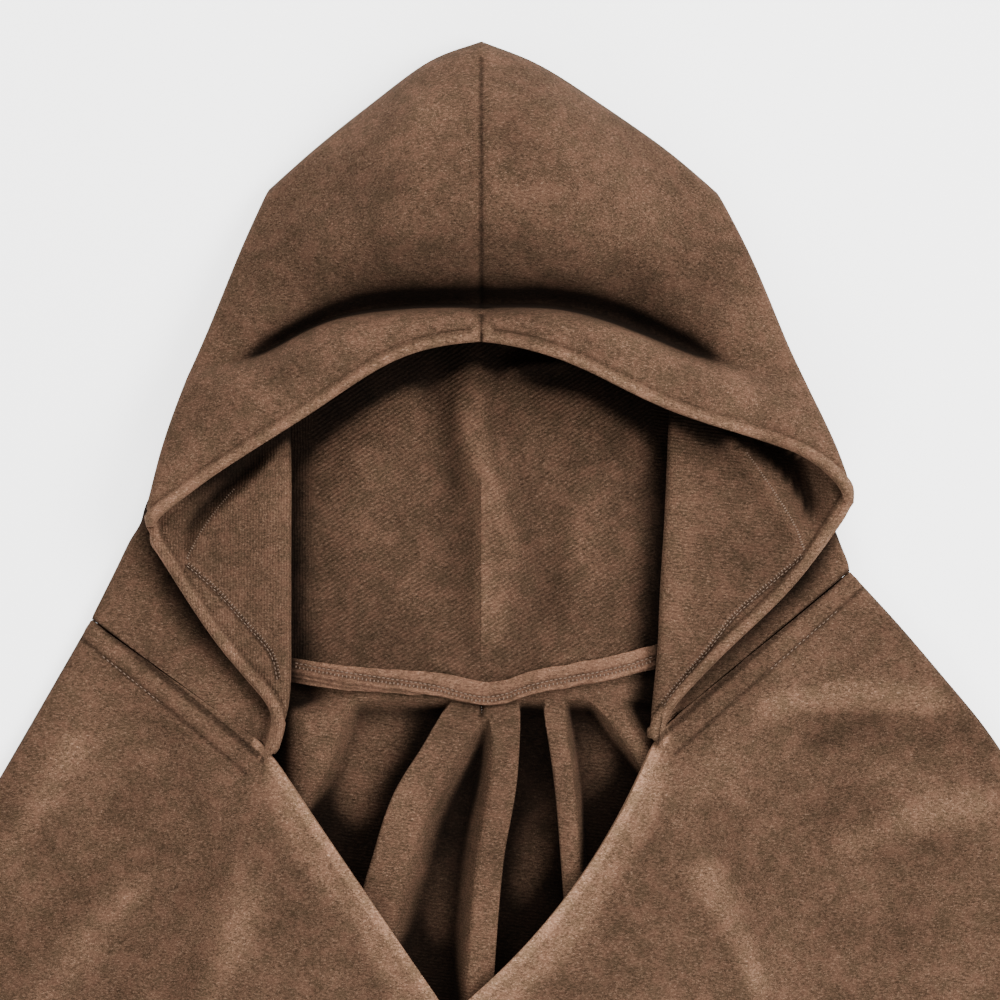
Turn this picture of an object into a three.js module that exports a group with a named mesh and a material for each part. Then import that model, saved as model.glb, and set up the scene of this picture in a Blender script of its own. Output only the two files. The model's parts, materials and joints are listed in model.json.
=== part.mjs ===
// A hooded knit poncho, laid on its back on a flat surface with the hood drawn up above the neck.
// Millimetres, +Z up from the surface, +Y from the hem towards the tip of the hood, +X to the right.
//
// Every piece is one wall of cloth, worked out as a mid-surface and then thickened:
//   hood_left, hood_right    half hoods, sewn on the centre line, each folded on itself four deep at the side
//   front_left, front_right  fronts with the V of the neck, sewn together below it
//   back_left, back_right    backs, gathered below the neck seam
//   neck_band                the band that covers the neck seam inside the back
//
// A half hood runs from the centre back seam outwards to its lower side fold, back in to the crease
// of the side pleat, out again to the upper side fold, and over the crown to the centre seam.
// Below the corner of the face opening it ends at the turned-back face edge, the lapel.
import * as THREE from "three";

// Cloth
const CLOTH = 2.4; // one layer of the brushed knit
const HEM_WALL = 4.6; // the knit turned on itself and stitched
const HEM_WIDTH = 17; // turned hem of the face opening
const V_HEM_WIDTH = 12; // turned hem of the V
const APEX_WALL = 0.7; // where the side pleat of the hood dies out
const SEAM_GAP = 0.3; // between the two halves at a centre seam
const NECK_GAP = 0.5; // between the hood and the body along the neck seam
const CORNER_GAP = 1.4; // the same where the neck seam meets the side seams
const REST = CLOTH / 2; // mid-surface of a layer that lies on the surface
const HEM_STEP = 0.6; // share of a turned hem's width that is of full thickness
const SAME_PLACE = 0.005; // points closer than this are one

// Body
const HEM_RADIUS = 1268; // the hem is an arc about a point of the centre line
const HEM_ARC_CENTRE_Y = 447;
const hemY = (out) => HEM_ARC_CENTRE_Y - Math.sqrt(HEM_RADIUS ** 2 - out ** 2);
const HEM_CORNER = { out: 637, y: hemY(637) };
const SIDE_ROLL = 3.8; // radius of the soft roll where front and back are sewn at the side
const SIDE_Z = REST + SIDE_ROLL;
const FRONT_SIDE_Z = REST + 2 * SIDE_ROLL;
const V_BOTTOM = { x: -19, y: -195 };

// Folds of the back below the neck, and what they do to the layers over them
const FOLD_HEIGHT = 25;
const FOLD_STARTS = -4;
const FOLD_FULL = -28;
const FOLD_FADES = -200;
const FOLD_ENDS = -380;
const FOLD_HALF_WIDTH = 125;
const FOLD_SIDE_END = 205;
const NECK_RISE = 12; // how far the neck seam is lifted by the gathers
const NECK_RISE_REACH = 30;
const NECK_RISE_HALF_WIDTH = 78;
const NECK_RISE_SIDE_END = 118;
const FRONT_CLEAR = 1.5; // between the fronts and the highest fold below them
const BACK_FOLDS = [
  // each crest starts at the neck seam and fans out towards the hem
  { name: "left crest", x: -12, y: 0, midX: -48, midY: -66, endX: -88, endY: -240, width: 12, height: 1 },
  { name: "left wing", x: -64, y: 0, midX: -98, midY: -66, endX: -158, endY: -240, width: 22, height: 0.62 },
  { name: "centre crest", x: 19, y: 0, midX: 12, midY: -66, endX: 10, endY: -240, width: 12, height: 0.95 },
  { name: "right crest", x: 40, y: 0, midX: 51, midY: -66, endX: 66, endY: -240, width: 12, height: 0.92 },
  { name: "right wing", x: 64, y: 0, midX: 98, midY: -66, endX: 170, endY: -240, width: 13, height: 0.7 },
];
// The back of the hood that shows through the face opening, where its soft folds are.
const INSIDE = { halfWidth: 80, sideEnd: 104, starts: 6, full: 40, fades: 255, ends: 300 };
const INSIDE_FOLDS = [
  { name: "seam fold", x: -4, y: 262, midX: -5, midY: 180, endX: 2, endY: 92, width: 11, height: 13 },
  { name: "left swell", x: -62, y: 210, midX: -68, midY: 120, endX: -60, endY: 30, width: 26, height: 6 },
  { name: "right swell", x: 56, y: 235, midX: 68, midY: 130, endX: 66, endY: 40, width: 22, height: 8 },
  { name: "inner swell", x: 18, y: 170, midX: 20, midY: 100, endX: 14, endY: 30, width: 12, height: 7 },
];
const SWELL_SOFT_END = 0.25; // share of a swell's length over which it rises
const SWELL_FADE = 0.35; // how much of its height it loses towards the far end
const SWELL_FADE_FROM = 0.8;
const FRONT_FOLDS = [
  // long soft swells of the fronts
  { name: "left chest", x: -150, y: -95, midX: -205, midY: -190, endX: -290, endY: -420, width: 46, height: 8 },
  { name: "left side", x: -275, y: -95, midX: -350, midY: -260, endX: -470, endY: -600, width: 44, height: 9 },
  { name: "left hem", x: -120, y: -330, midX: -150, midY: -560, endX: -180, endY: -815, width: 52, height: 11 },
  { name: "centre hem", x: 30, y: -300, midX: 25, midY: -560, endX: 40, endY: -820, width: 46, height: 9 },
  { name: "right chest", x: 130, y: -90, midX: 190, midY: -150, endX: 310, endY: -330, width: 40, height: 11 },
  { name: "right shoulder", x: 190, y: 12, midX: 232, midY: 18, endX: 262, endY: 12, width: 26, height: 9 },
  { name: "right side", x: 210, y: -62, midX: 275, midY: -55, endX: 330, endY: -75, width: 30, height: 10 },
  { name: "right flank", x: 300, y: -190, midX: 375, midY: -340, endX: 480, endY: -610, width: 46, height: 10 },
  { name: "right hem", x: 170, y: -400, midX: 225, midY: -600, endX: 260, endY: -790, width: 50, height: 12 },
];

// Hood. Rows run from the neck seam up. out is the distance from the centre line.
// back: height of the row at the centre back; low: lower side fold; crease: inner fold of the side
// pleat; edge: face edge of the lapel.
const ROWS_TO_CORNER = 5;
const LEFT_HOOD_ROWS = [
  { row: 0, back: 0, bow: -13, lowOut: 235, lowY: 42, creaseOut: 125, creaseY: -37, edgeOut: 132, edgeY: -44 },
  { row: 1, back: 20, bow: -10, lowOut: 227, lowY: 58, creaseOut: 117, creaseY: -13, edgeOut: 124, edgeY: -17 },
  { row: 2, back: 46, bow: -7, lowOut: 219, lowY: 74, creaseOut: 115, creaseY: 8, edgeOut: 137, edgeY: 2 },
  { row: 3, back: 76, bow: -4, lowOut: 211, lowY: 91, creaseOut: 115, creaseY: 32, edgeOut: 159, edgeY: 28 },
  { row: 4, back: 106, bow: -2, lowOut: 203, lowY: 109, creaseOut: 115, creaseY: 61, edgeOut: 184, edgeY: 66 },
  { row: 5, back: 137, bow: 0, lowOut: 193, lowY: 130, creaseOut: 115, creaseY: 92 },
  { row: 6, back: 178, bow: 0, lowOut: 180, lowY: 156, creaseOut: 115, creaseY: 128 },
  { row: 7, back: 224, bow: 0, lowOut: 166, lowY: 190, creaseOut: 116, creaseY: 170 },
  { row: 8, back: 276, bow: 0, lowOut: 153, lowY: 228, creaseOut: 119, creaseY: 216 },
  { row: 9, back: 330, bow: 0, lowOut: 140, lowY: 265, creaseOut: 122, creaseY: 262 },
  { row: 10, back: 391, bow: 0, lowOut: 128, lowY: 301, creaseOut: 128, creaseY: 301 },
];
const RIGHT_HOOD_ROWS = [
  { row: 0, back: 0, bow: -18, lowOut: 222, lowY: 71, creaseOut: 102, creaseY: -28, edgeOut: 108, edgeY: -35 },
  { row: 1, back: 20, bow: -14, lowOut: 220, lowY: 78, creaseOut: 103, creaseY: -12, edgeOut: 111, edgeY: -16 },
  { row: 2, back: 46, bow: -9, lowOut: 217, lowY: 85, creaseOut: 105, creaseY: 8, edgeOut: 130, edgeY: 6 },
  { row: 3, back: 76, bow: -5, lowOut: 214, lowY: 93, creaseOut: 107, creaseY: 32, edgeOut: 154, edgeY: 30 },
  { row: 4, back: 106, bow: -2, lowOut: 210, lowY: 102, creaseOut: 108, creaseY: 60, edgeOut: 190, edgeY: 65 },
  { row: 5, back: 137, bow: 0, lowOut: 204, lowY: 116, creaseOut: 110, creaseY: 90 },
  { row: 6, back: 178, bow: 0, lowOut: 194, lowY: 144, creaseOut: 112, creaseY: 128 },
  { row: 7, back: 224, bow: 0, lowOut: 181, lowY: 182, creaseOut: 114, creaseY: 170 },
  { row: 8, back: 276, bow: 0, lowOut: 168, lowY: 220, creaseOut: 119, creaseY: 216 },
  { row: 9, back: 330, bow: 0, lowOut: 155, lowY: 260, creaseOut: 128, creaseY: 258 },
  { row: 10, back: 391, bow: 0, lowOut: 142, lowY: 299, creaseOut: 142, creaseY: 299 },
];
// Heights of the layers of the side pleat, the same on both sides.
const PLEAT_HEIGHTS = [
  { row: 0, lowZ: SIDE_Z, creaseZ: 25, creaseRoll: 4, edgeZ: 31 },
  { row: 1, lowZ: 5.2, creaseZ: 24, creaseRoll: 4.4, edgeZ: 30 },
  { row: 2, lowZ: 5.6, creaseZ: 22, creaseRoll: 5, edgeZ: 30 },
  { row: 3, lowZ: 6, creaseZ: 20, creaseRoll: 5, edgeZ: 31 },
  { row: 4, lowZ: 6, creaseZ: 18.5, creaseRoll: 5, edgeZ: 34 },
  { row: 5, lowZ: 6, creaseZ: 18, creaseRoll: 5, edgeZ: 38 },
  { row: 6, lowZ: 6, creaseZ: 17, creaseRoll: 4.6 },
  { row: 7, lowZ: 6, creaseZ: 15, creaseRoll: 4 },
  { row: 8, lowZ: 5.8, creaseZ: 13, creaseRoll: 3 },
  { row: 9, lowZ: 5, creaseZ: 10, creaseRoll: 1.9 },
  { row: 10, lowZ: 7, creaseZ: 7, creaseRoll: 0 },
];
// Crown. Each line runs from the upper side fold (station 0) to the centre seam (station 1).
const STATIONS = [0, 0.25, 0.5, 0.75, 1];
const LEFT_CROWN = [
  { line: "face edge", at: 0, out: [202, 158, 106, 52, 0], y: [97, 130, 163, 198, 213], z: [43, 48, 55, 59, 59] },
  { line: "brim", at: 0.14, out: [192, 150, 101, 50, 0], y: [142, 160, 189, 212, 220], z: [41, 52, 60, 63, 63] },
  { line: "ridge", at: 0.28, out: [178, 140, 96, 48, 0], y: [182, 192, 217, 225, 226], z: [35, 50, 62, 67, 67] },
  { line: "valley", at: 0.38, out: [174, 136, 93, 47, 0], y: [192, 199, 222, 230, 231], z: [29, 35, 36, 38, 38] },
  { line: "slope", at: 0.52, out: [166, 130, 89, 45, 0], y: [210, 216, 238, 246, 248], z: [28, 38, 46, 58, 60] },
  { line: "dome", at: 0.66, out: [157, 122, 84, 43, 0], y: [232, 242, 269, 282, 284], z: [26, 38, 52, 72, 76] },
  { line: "upper", at: 0.84, out: [144, 111, 75, 38, 0], y: [265, 286, 318, 340, 346], z: [20, 29, 41, 54, 58] },
  { line: "outline", at: 1, out: [128, 99, 66, 31, 0], y: [301, 327, 353, 379, 391], z: [12, 14, 15, 16, 16] },
];
const RIGHT_CROWN = [
  { line: "face edge", at: 0, out: [223, 192, 118, 54, 0], y: [113, 142, 165, 196, 213], z: [43, 48, 55, 59, 59] },
  { line: "brim", at: 0.14, out: [213, 174, 113, 53, 0], y: [144, 164, 185, 211, 220], z: [41, 52, 60, 63, 63] },
  { line: "ridge", at: 0.28, out: [198, 157, 107, 52, 0], y: [176, 184, 205, 224, 226], z: [35, 50, 61, 67, 67] },
  { line: "valley", at: 0.38, out: [193, 154, 104, 51, 0], y: [187, 192, 212, 229, 231], z: [30, 38, 36, 38, 38] },
  { line: "slope", at: 0.52, out: [184, 148, 100, 49, 0], y: [206, 211, 230, 246, 248], z: [29, 40, 43, 57, 60] },
  { line: "dome", at: 0.66, out: [175, 140, 94, 46, 0], y: [228, 236, 262, 281, 284], z: [26, 39, 51, 71, 76] },
  { line: "upper", at: 0.84, out: [162, 127, 85, 41, 0], y: [260, 281, 314, 340, 346], z: [20, 30, 42, 54, 58] },
  { line: "outline", at: 1, out: [142, 112, 76, 36, 0], y: [299, 325, 350, 376, 391], z: [12, 14, 15, 16, 16] },
];
const CROWN_ROLL = 5; // radius of the upper side fold
const OUTLINE_ROLL = 9; // radius of the fold along the top
const OUTLINE_FROM = 0.86; // where along the crown's rows the one turns into the other
// The side pleat: points of one row, how many of them lie on the neck seam, and the widths of the pleat
// below which its folds draw tight and its wall thins.
const PLEAT_POINTS = 15;
const NECK_SEAM_POINTS = 6;
const PLEAT_TIGHT = 14;
const PLEAT_THIN = 16;
const LAPEL_HEM_MOST = 0.42; // share of a lapel that its hem takes at most

// Side seams, from the neck seam to the hem.
const LEFT_SIDE = [
  { at: 0, out: 235, y: 42 },
  { at: 0.13, out: 288, y: -50 },
  { at: 0.5, out: 436, y: -304 },
  { at: 1, out: HEM_CORNER.out, y: HEM_CORNER.y },
];
const RIGHT_SIDE = [
  { at: 0, out: 222, y: 71 },
  { at: 0.06, out: 254, y: 36 },
  { at: 0.1, out: 281, y: 4 },
  { at: 0.15, out: 313, y: -36 },
  { at: 0.5, out: 447, y: -300 },
  { at: 1, out: HEM_CORNER.out, y: HEM_CORNER.y },
];
// Height of the V's edge, from the bottom of the V to the neck seam.
const V_EDGE = [
  { at: 0, z: 33 },
  { at: 0.35, z: 37 },
  { at: 0.75, z: 34 },
  { at: 1, z: 23 },
];

// Neck band
const BAND = { from: -122, to: 112, width: 14, wall: 3.4, belly: 1.2, drop: 4, clear: 0.7, steps: 24 };

const HALVES = [
  { name: "left", side: -1, rows: LEFT_HOOD_ROWS, crown: LEFT_CROWN, seam: LEFT_SIDE, vBow: 0 },
  { name: "right", side: 1, rows: RIGHT_HOOD_ROWS, crown: RIGHT_CROWN, seam: RIGHT_SIDE, vBow: 14 },
];

const lerp = (a, b, t) => a + (b - a) * t;
const ease = (a, b, x) => THREE.MathUtils.smoothstep(x, a, b);
// 1 at the fold, 0 once `distance` passes `roll`: the rise of a quarter circle.
const roll = (distance, radius) => {
  const away = THREE.MathUtils.clamp(distance / radius, 0, 1);
  return 1 - Math.sqrt(1 - (1 - away) ** 2);
};

// A smooth curve through values at rising knots.
function through(knots, values, t) {
  const last = knots.length - 1;
  let k = 0;
  while (k < last - 1 && t > knots[k + 1]) k += 1;
  const slope = (i) => {
    const a = Math.max(0, i - 1);
    const b = Math.min(last, i + 1);
    return (values[b] - values[a]) / (knots[b] - knots[a]);
  };
  const span = knots[k + 1] - knots[k];
  const s = (t - knots[k]) / span;
  const s2 = s * s;
  const s3 = s2 * s;
  return (
    (2 * s3 - 3 * s2 + 1) * values[k] +
    (s3 - 2 * s2 + s) * span * slope(k) +
    (3 * s2 - 2 * s3) * values[k + 1] +
    (s3 - s2) * span * slope(k + 1)
  );
}

// The value of a table's column between its rows.
function column(table, name, t, key = "row") {
  const filled = table.filter((entry) => entry[name] !== undefined);
  return through(
    filled.map((entry) => entry[key]),
    filled.map((entry) => entry[name]),
    t,
  );
}

// Where a fold's crest crosses the height y.
function crestX(fold, y) {
  const down = THREE.MathUtils.clamp((fold.y - y) / (fold.y - fold.endY), 0, 1);
  const mid = (fold.y - fold.midY) / (fold.y - fold.endY);
  return through([0, mid, 1], [fold.x, fold.midX, fold.endX], down);
}

// How far up a fold's flank a point lies: 1 on its crest, fading to 0.
const crest = (fold, x, y) => Math.exp(-(((x - crestX(fold, y)) / fold.width) ** 2));

// A swell has soft ends; it may run along X or along Y.
function swell(fold, x, y) {
  const flat = Math.abs(fold.endX - fold.x) > Math.abs(fold.endY - fold.y);
  const [from, mid, to, at] = flat
    ? [fold.x, fold.midX, fold.endX, x]
    : [-fold.y, -fold.midY, -fold.endY, -y];
  const t = THREE.MathUtils.clamp((at - from) / (to - from), 0, 1);
  const across = flat ? [fold.y, fold.midY, fold.endY] : [fold.x, fold.midX, fold.endX];
  const line = through([0, (mid - from) / (to - from), 1], across, t);
  const off = (flat ? y : x) - line;
  const past = Math.max(from - at, at - to, 0);
  const share = ease(0, SWELL_SOFT_END, t) * (1 - SWELL_FADE * ease(SWELL_FADE_FROM, 1, t));
  return fold.height * share * Math.exp(-((off / fold.width) ** 2) - (past / fold.width) ** 2);
}

const foldStrength = (x, y) =>
  (1 - ease(FOLD_FULL, FOLD_STARTS, y)) *
  ease(FOLD_ENDS, FOLD_FADES, y) *
  (1 - ease(FOLD_HALF_WIDTH, FOLD_SIDE_END, Math.abs(x)));

const neckRise = (x, y) =>
  NECK_RISE *
  Math.exp(-((y / NECK_RISE_REACH) ** 2)) *
  (1 - ease(NECK_RISE_HALF_WIDTH, NECK_RISE_SIDE_END, Math.abs(x)));

// Mid-surface height of the back of the body.
function backHeight(x, y) {
  const crests = BACK_FOLDS.map((fold) => fold.height * crest(fold, x, y));
  const gathered = Math.min(1, Math.hypot(...crests));
  return REST + FOLD_HEIGHT * foldStrength(x, y) * gathered + neckRise(x, y);
}

// Mid-surface height of the back of the hood.
function insideHeight(x, y) {
  const open =
    (1 - ease(INSIDE.halfWidth, INSIDE.sideEnd, Math.abs(x))) *
    ease(INSIDE.starts, INSIDE.full, y) *
    (1 - ease(INSIDE.fades, INSIDE.ends, y));
  const folds = INSIDE_FOLDS.reduce((sum, fold) => sum + fold.height * crest(fold, x, y), 0);
  return REST + open * folds + neckRise(x, y);
}

// Mid-surface height of the fronts, clear of the folds below.
function frontHeight(x, y) {
  const clear = FOLD_HEIGHT * foldStrength(x, Math.min(y, FOLD_FULL)) + CLOTH + FRONT_CLEAR;
  const swells = FRONT_FOLDS.reduce((sum, fold) => sum + swell(fold, x, y), 0);
  return REST + clear + swells;
}

// A wall of cloth: patches of a mid-surface that share their meeting points, thickened at the end.
class Cloth {
  points = [];
  triangles = [];
  placed = new Map();

  // lock names the axis along which the wall must not lean, so that it meets its neighbour squarely.
  point(x, y, z, wall = CLOTH, lock = null) {
    return { x, y, z, wall, lock };
  }

  place(p) {
    const key = [p.x, p.y, p.z].map((v) => Math.round(v / SAME_PLACE)).join();
    if (!this.placed.has(key)) {
      this.placed.set(key, this.points.length);
      this.points.push(p);
    }
    return this.placed.get(key);
  }

  triangle(a, b, c) {
    if (a !== b && b !== c && c !== a) this.triangles.push([a, b, c]);
  }

  // rows[i][j]; flip turns the patch's outer side round.
  patch(rows, flip) {
    const grid = rows.map((row) => row.map((p) => this.place(p)));
    const gap = (a, b) =>
      Math.hypot(
        this.points[a].x - this.points[b].x,
        this.points[a].y - this.points[b].y,
        this.points[a].z - this.points[b].z,
      );
    for (let i = 0; i + 1 < grid.length; i += 1) {
      for (let j = 0; j + 1 < grid[i].length; j += 1) {
        let quad = [grid[i][j], grid[i][j + 1], grid[i + 1][j + 1], grid[i + 1][j]];
        if (flip) quad = quad.reverse();
        const [a, b, c, d] = quad;
        if (gap(a, c) <= gap(b, d)) {
          this.triangle(a, b, c);
          this.triangle(a, c, d);
        } else {
          this.triangle(a, b, d);
          this.triangle(b, c, d);
        }
      }
    }
  }

  normals() {
    const sums = this.points.map(() => new THREE.Vector3());
    const place = (i) => new THREE.Vector3(this.points[i].x, this.points[i].y, this.points[i].z);
    for (const [a, b, c] of this.triangles) {
      const corners = [place(a), place(b), place(c)];
      const face = new THREE.Triangle(...corners).getNormal(new THREE.Vector3());
      [a, b, c].forEach((index, k) => {
        const to = corners[(k + 1) % 3].clone().sub(corners[k]);
        const from = corners[(k + 2) % 3].clone().sub(corners[k]);
        sums[index].addScaledVector(face, to.angleTo(from));
      });
    }
    return sums.map((sum, i) => {
      if (this.points[i].lock) sum[this.points[i].lock] = 0;
      return sum.normalize();
    });
  }

  // The closed wall: both faces, and a rim along every free edge.
  wall() {
    const normals = this.normals();
    const count = this.points.length;
    const places = [];
    for (const sign of [1, -1]) {
      this.points.forEach((p, i) => {
        const half = (sign * p.wall) / 2;
        places.push(p.x + normals[i].x * half, p.y + normals[i].y * half, p.z + normals[i].z * half);
      });
    }
    const faces = [];
    const edges = new Set(this.triangles.flatMap(([a, b, c]) => [`${a}_${b}`, `${b}_${c}`, `${c}_${a}`]));
    for (const [a, b, c] of this.triangles) {
      faces.push(a, b, c, count + c, count + b, count + a);
      for (const [from, to] of [[a, b], [b, c], [c, a]]) {
        if (edges.has(`${to}_${from}`)) continue;
        faces.push(to, from, count + from, to, count + from, count + to);
      }
    }
    const geometry = new THREE.BufferGeometry();
    geometry.setAttribute("position", new THREE.Float32BufferAttribute(places, 3));
    geometry.setIndex(faces);
    geometry.computeVertexNormals();
    return geometry;
  }
}

// Columns of a layer that ends in a rolled side fold: shares of its width, then fixed steps over the roll.
const ROLL_STEPS = [14, 4, 1.2, 0];
function sharesTo(inner, length) {
  const flat = length - ROLL_STEPS[0];
  return [...inner.map((share) => (share * flat) / length), ...ROLL_STEPS.slice(1).map((d) => 1 - d / length)];
}
const HOOD_SHARES = [0, 0.05, 0.105, 0.165, 0.235, 0.31, 0.4, 0.5, 0.62, 0.76, 0.89, 1];
const LAPEL_ROWS = [0, 0.5, 1, 1.5, 2, 2.5, 3, 3.5, 4, 4.5, 5];
const CROWN_ROWS = [0, 0.07, 0.14, 0.21, 0.28, 0.33, 0.38, 0.45, 0.52, 0.62, 0.74, 0.86, 0.95, 0.985, 1];

// A point of the crown, at a share from the upper side fold to the centre seam.
function crownPoint(half, share, at) {
  const lines = half.crown;
  const knots = lines.map((line) => line.at);
  const across = (name) =>
    STATIONS.map((_, s) =>
      through(
        knots,
        lines.map((line) => line[name][s]),
        at,
      ),
    );
  return {
    out: through(STATIONS, across("out"), share),
    y: through(STATIONS, across("y"), share),
    z: through(STATIONS, across("z"), share),
  };
}

const crownWidth = (half, at) => {
  const side = crownPoint(half, 0, at);
  const seam = crownPoint(half, 1, at);
  return Math.hypot(side.out - seam.out, side.y - seam.y);
};

// The crown's row with its two rolled folds, from the upper side fold to the centre seam.
function crownRow(cloth, half, at) {
  const width = crownWidth(half, at);
  const shares = sharesTo(HOOD_SHARES, width).map((share) => 1 - share);
  return shares.reverse().map((share) => {
    const p = crownPoint(half, share, at);
    const top = crownPoint(half, share, 1);
    const toTop = Math.hypot(p.out - top.out, p.y - top.y);
    const toSide = share * width;
    const hem = 1 - ease(HEM_STEP * HEM_WIDTH, HEM_WIDTH, edgeDistance(half, share, at));
    const drop = 1 - (1 - roll(toSide, CROWN_ROLL)) * (1 - roll(toTop, OUTLINE_ROLL));
    const deep = lerp(CROWN_ROLL, OUTLINE_ROLL, ease(OUTLINE_FROM, 1, at));
    const seam = share > 0.9999;
    return cloth.point(
      half.side * (seam ? SEAM_GAP / 2 : p.out),
      p.y,
      p.z - deep * drop,
      lerp(CLOTH, HEM_WALL, hem),
      seam ? "x" : null,
    );
  });
}

function edgeDistance(half, share, at) {
  const p = crownPoint(half, share, at);
  const edge = crownPoint(half, share, 0);
  return Math.hypot(p.out - edge.out, p.y - edge.y, p.z - edge.z);
}

// The side pleat's row, from the lower side fold through the crease to the upper fold or the lapel's edge.
function pleatRow(cloth, half, row, end) {
  const low = new THREE.Vector2(column(half.rows, "lowOut", row), column(half.rows, "lowY", row));
  const crease = new THREE.Vector2(column(half.rows, "creaseOut", row), column(half.rows, "creaseY", row));
  const tip = new THREE.Vector2(end.out, end.y);
  const inwards = crease.clone().sub(low);
  const outwards = tip.clone().sub(crease);
  const shrink = Math.min(1, inwards.length() / PLEAT_TIGHT);
  const lowZ = column(PLEAT_HEIGHTS, "lowZ", row);
  const creaseZ = column(PLEAT_HEIGHTS, "creaseZ", row);
  const creaseRoll = column(PLEAT_HEIGHTS, "creaseRoll", row) * shrink;
  const lowRoll = (lowZ - REST) * shrink;
  const wall = lerp(APEX_WALL, CLOTH, ease(0, PLEAT_THIN, inwards.length()));
  const inDir = inwards.clone().normalize();
  const outDir = outwards.clone().normalize();
  const points = [];
  const add = (at, z, thickness = wall) =>
    points.push(cloth.point(half.side * at.x, at.y, z, thickness));
  // lower side fold: from its outermost point to its top
  for (const turn of [0, 45, 90]) {
    const a = THREE.MathUtils.degToRad(turn);
    add(low.clone().addScaledVector(inDir, lowRoll * (1 - Math.cos(a))), lowZ + lowRoll * Math.sin(a));
  }
  // lower layer
  const layerStart = low.clone().addScaledVector(inDir, lowRoll);
  const layerEnd = crease.clone().addScaledVector(inDir, -creaseRoll);
  for (const share of [1 / 3, 2 / 3]) {
    add(layerStart.clone().lerp(layerEnd, share), lerp(lowZ + lowRoll, creaseZ - creaseRoll, share));
  }
  // crease
  for (const turn of [-90, -45, 0, 45, 90]) {
    const a = THREE.MathUtils.degToRad(turn);
    const dir = turn > 0 ? outDir.clone().negate() : inDir;
    add(crease.clone().addScaledVector(dir, creaseRoll * (Math.cos(a) - 1)), creaseZ + creaseRoll * Math.sin(a));
  }
  // upper layer, then the upper side fold or the hem of the lapel
  const onLapel = end.roll === 0;
  const upperStart = crease.clone().addScaledVector(outDir, creaseRoll);
  const endRoll = end.roll * shrink;
  const upperEnd = tip.clone().addScaledVector(outDir, -endRoll);
  const upperZ = end.z - endRoll;
  const room = outwards.length() - creaseRoll;
  const hemShare = onLapel ? 1 - Math.min(LAPEL_HEM_MOST, HEM_WIDTH / room) : 1;
  const upper = (share, thickness) =>
    add(upperStart.clone().lerp(upperEnd, share), lerp(creaseZ + creaseRoll, upperZ, share), thickness);
  for (const share of [1 / 3, 2 / 3]) upper(share * hemShare);
  if (onLapel) {
    for (const share of [hemShare, (hemShare + 1) / 2, 1]) {
      upper(share, lerp(wall, HEM_WALL, ease(hemShare, (hemShare + 1) / 2, share)));
    }
  } else {
    for (const turn of [0, 45, 90]) {
      const a = THREE.MathUtils.degToRad(turn);
      add(upperEnd.clone().addScaledVector(outDir, endRoll * Math.sin(a)), end.z - endRoll * Math.cos(a));
    }
  }
  return points;
}

// Rows above this one are bent, more and more, to follow the outline.
const OUTLINE_LIFT_FROM = 6.5;
const TOP_ROW = 10;

// The back layer's row, from the centre back seam to the lower side fold.
function hoodBackRow(cloth, half, row, outline) {
  const seamY = column(half.rows, "back", row);
  const bow = column(half.rows, "bow", row);
  const low = { out: column(half.rows, "lowOut", row), y: column(half.rows, "lowY", row) };
  const lowZ = column(PLEAT_HEIGHTS, "lowZ", row);
  const length = Math.hypot(low.out, low.y - seamY);
  const lift = ease(OUTLINE_LIFT_FROM, TOP_ROW, row);
  const first = outline[0];
  const last = outline[outline.length - 1];
  const shares = sharesTo(HOOD_SHARES, length);
  return shares.map((share, j) => {
    const away = outline[j];
    const chord = (away.x - first.x) / (last.x - first.x);
    const x = half.side * lerp(SEAM_GAP / 2, low.out, share);
    const y = lerp(seamY, low.y, share) + bow * 4 * share * (1 - share) +
      lift * (away.y - lerp(first.y, last.y, chord));
    const toSide = (1 - share) * length;
    const toTop = Math.hypot(x - away.x, y - away.y);
    const flat = insideHeight(x, y);
    const atSide = roll(toSide, lowZ - REST) * (lowZ - REST);
    const atTop = roll(toTop, OUTLINE_ROLL) * (away.z - REST);
    return cloth.point(x, y, flat + Math.max(atSide, atTop), CLOTH, j === 0 ? "x" : null);
  });
}

function hood(half) {
  const cloth = new Cloth();
  const crownRows = CROWN_ROWS.map((at) => crownRow(cloth, half, at));
  const outline = [...crownRows[crownRows.length - 1]].reverse();
  const apex = outline[outline.length - 1];
  apex.wall = APEX_WALL;
  const rows = LAPEL_ROWS.slice(0, -1).concat(CROWN_ROWS.map((at) => lerp(ROWS_TO_CORNER, TOP_ROW, at)));
  const backs = rows.map((row) => hoodBackRow(cloth, half, row, outline));
  backs[backs.length - 1] = outline;
  const pleats = rows.map((row, i) => {
    if (i === rows.length - 1) return new Array(PLEAT_POINTS).fill(apex);
    const onLapel = i < LAPEL_ROWS.length - 1;
    const fold = onLapel ? null : crownRows[i - LAPEL_ROWS.length + 1][0];
    const corner = { row: ROWS_TO_CORNER, edgeOut: Math.abs(crownRows[0][0].x), edgeY: crownRows[0][0].y };
    const lapel = (name) => column([...half.rows.slice(0, ROWS_TO_CORNER), corner], name, row);
    const end = onLapel
      ? { out: lapel("edgeOut"), y: lapel("edgeY"), z: column(PLEAT_HEIGHTS, "edgeZ", row), roll: 0 }
      : { out: Math.abs(fold.x), y: fold.y, z: fold.z, roll: CROWN_ROLL };
    return pleatRow(cloth, half, row, end);
  });
  // the three strips share their meeting columns exactly
  pleats.forEach((row, i) => {
    row[0] = backs[i][backs[i].length - 1];
    const crown = i - (LAPEL_ROWS.length - 1);
    if (crown >= 0) row[row.length - 1] = crownRows[crown][0];
  });
  const flip = half.side > 0;
  cloth.patch(backs, flip);
  cloth.patch(pleats, flip);
  cloth.patch(crownRows, flip);
  return { cloth, neckSeam: pleats[0].slice(0, NECK_SEAM_POINTS) };
}

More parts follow.
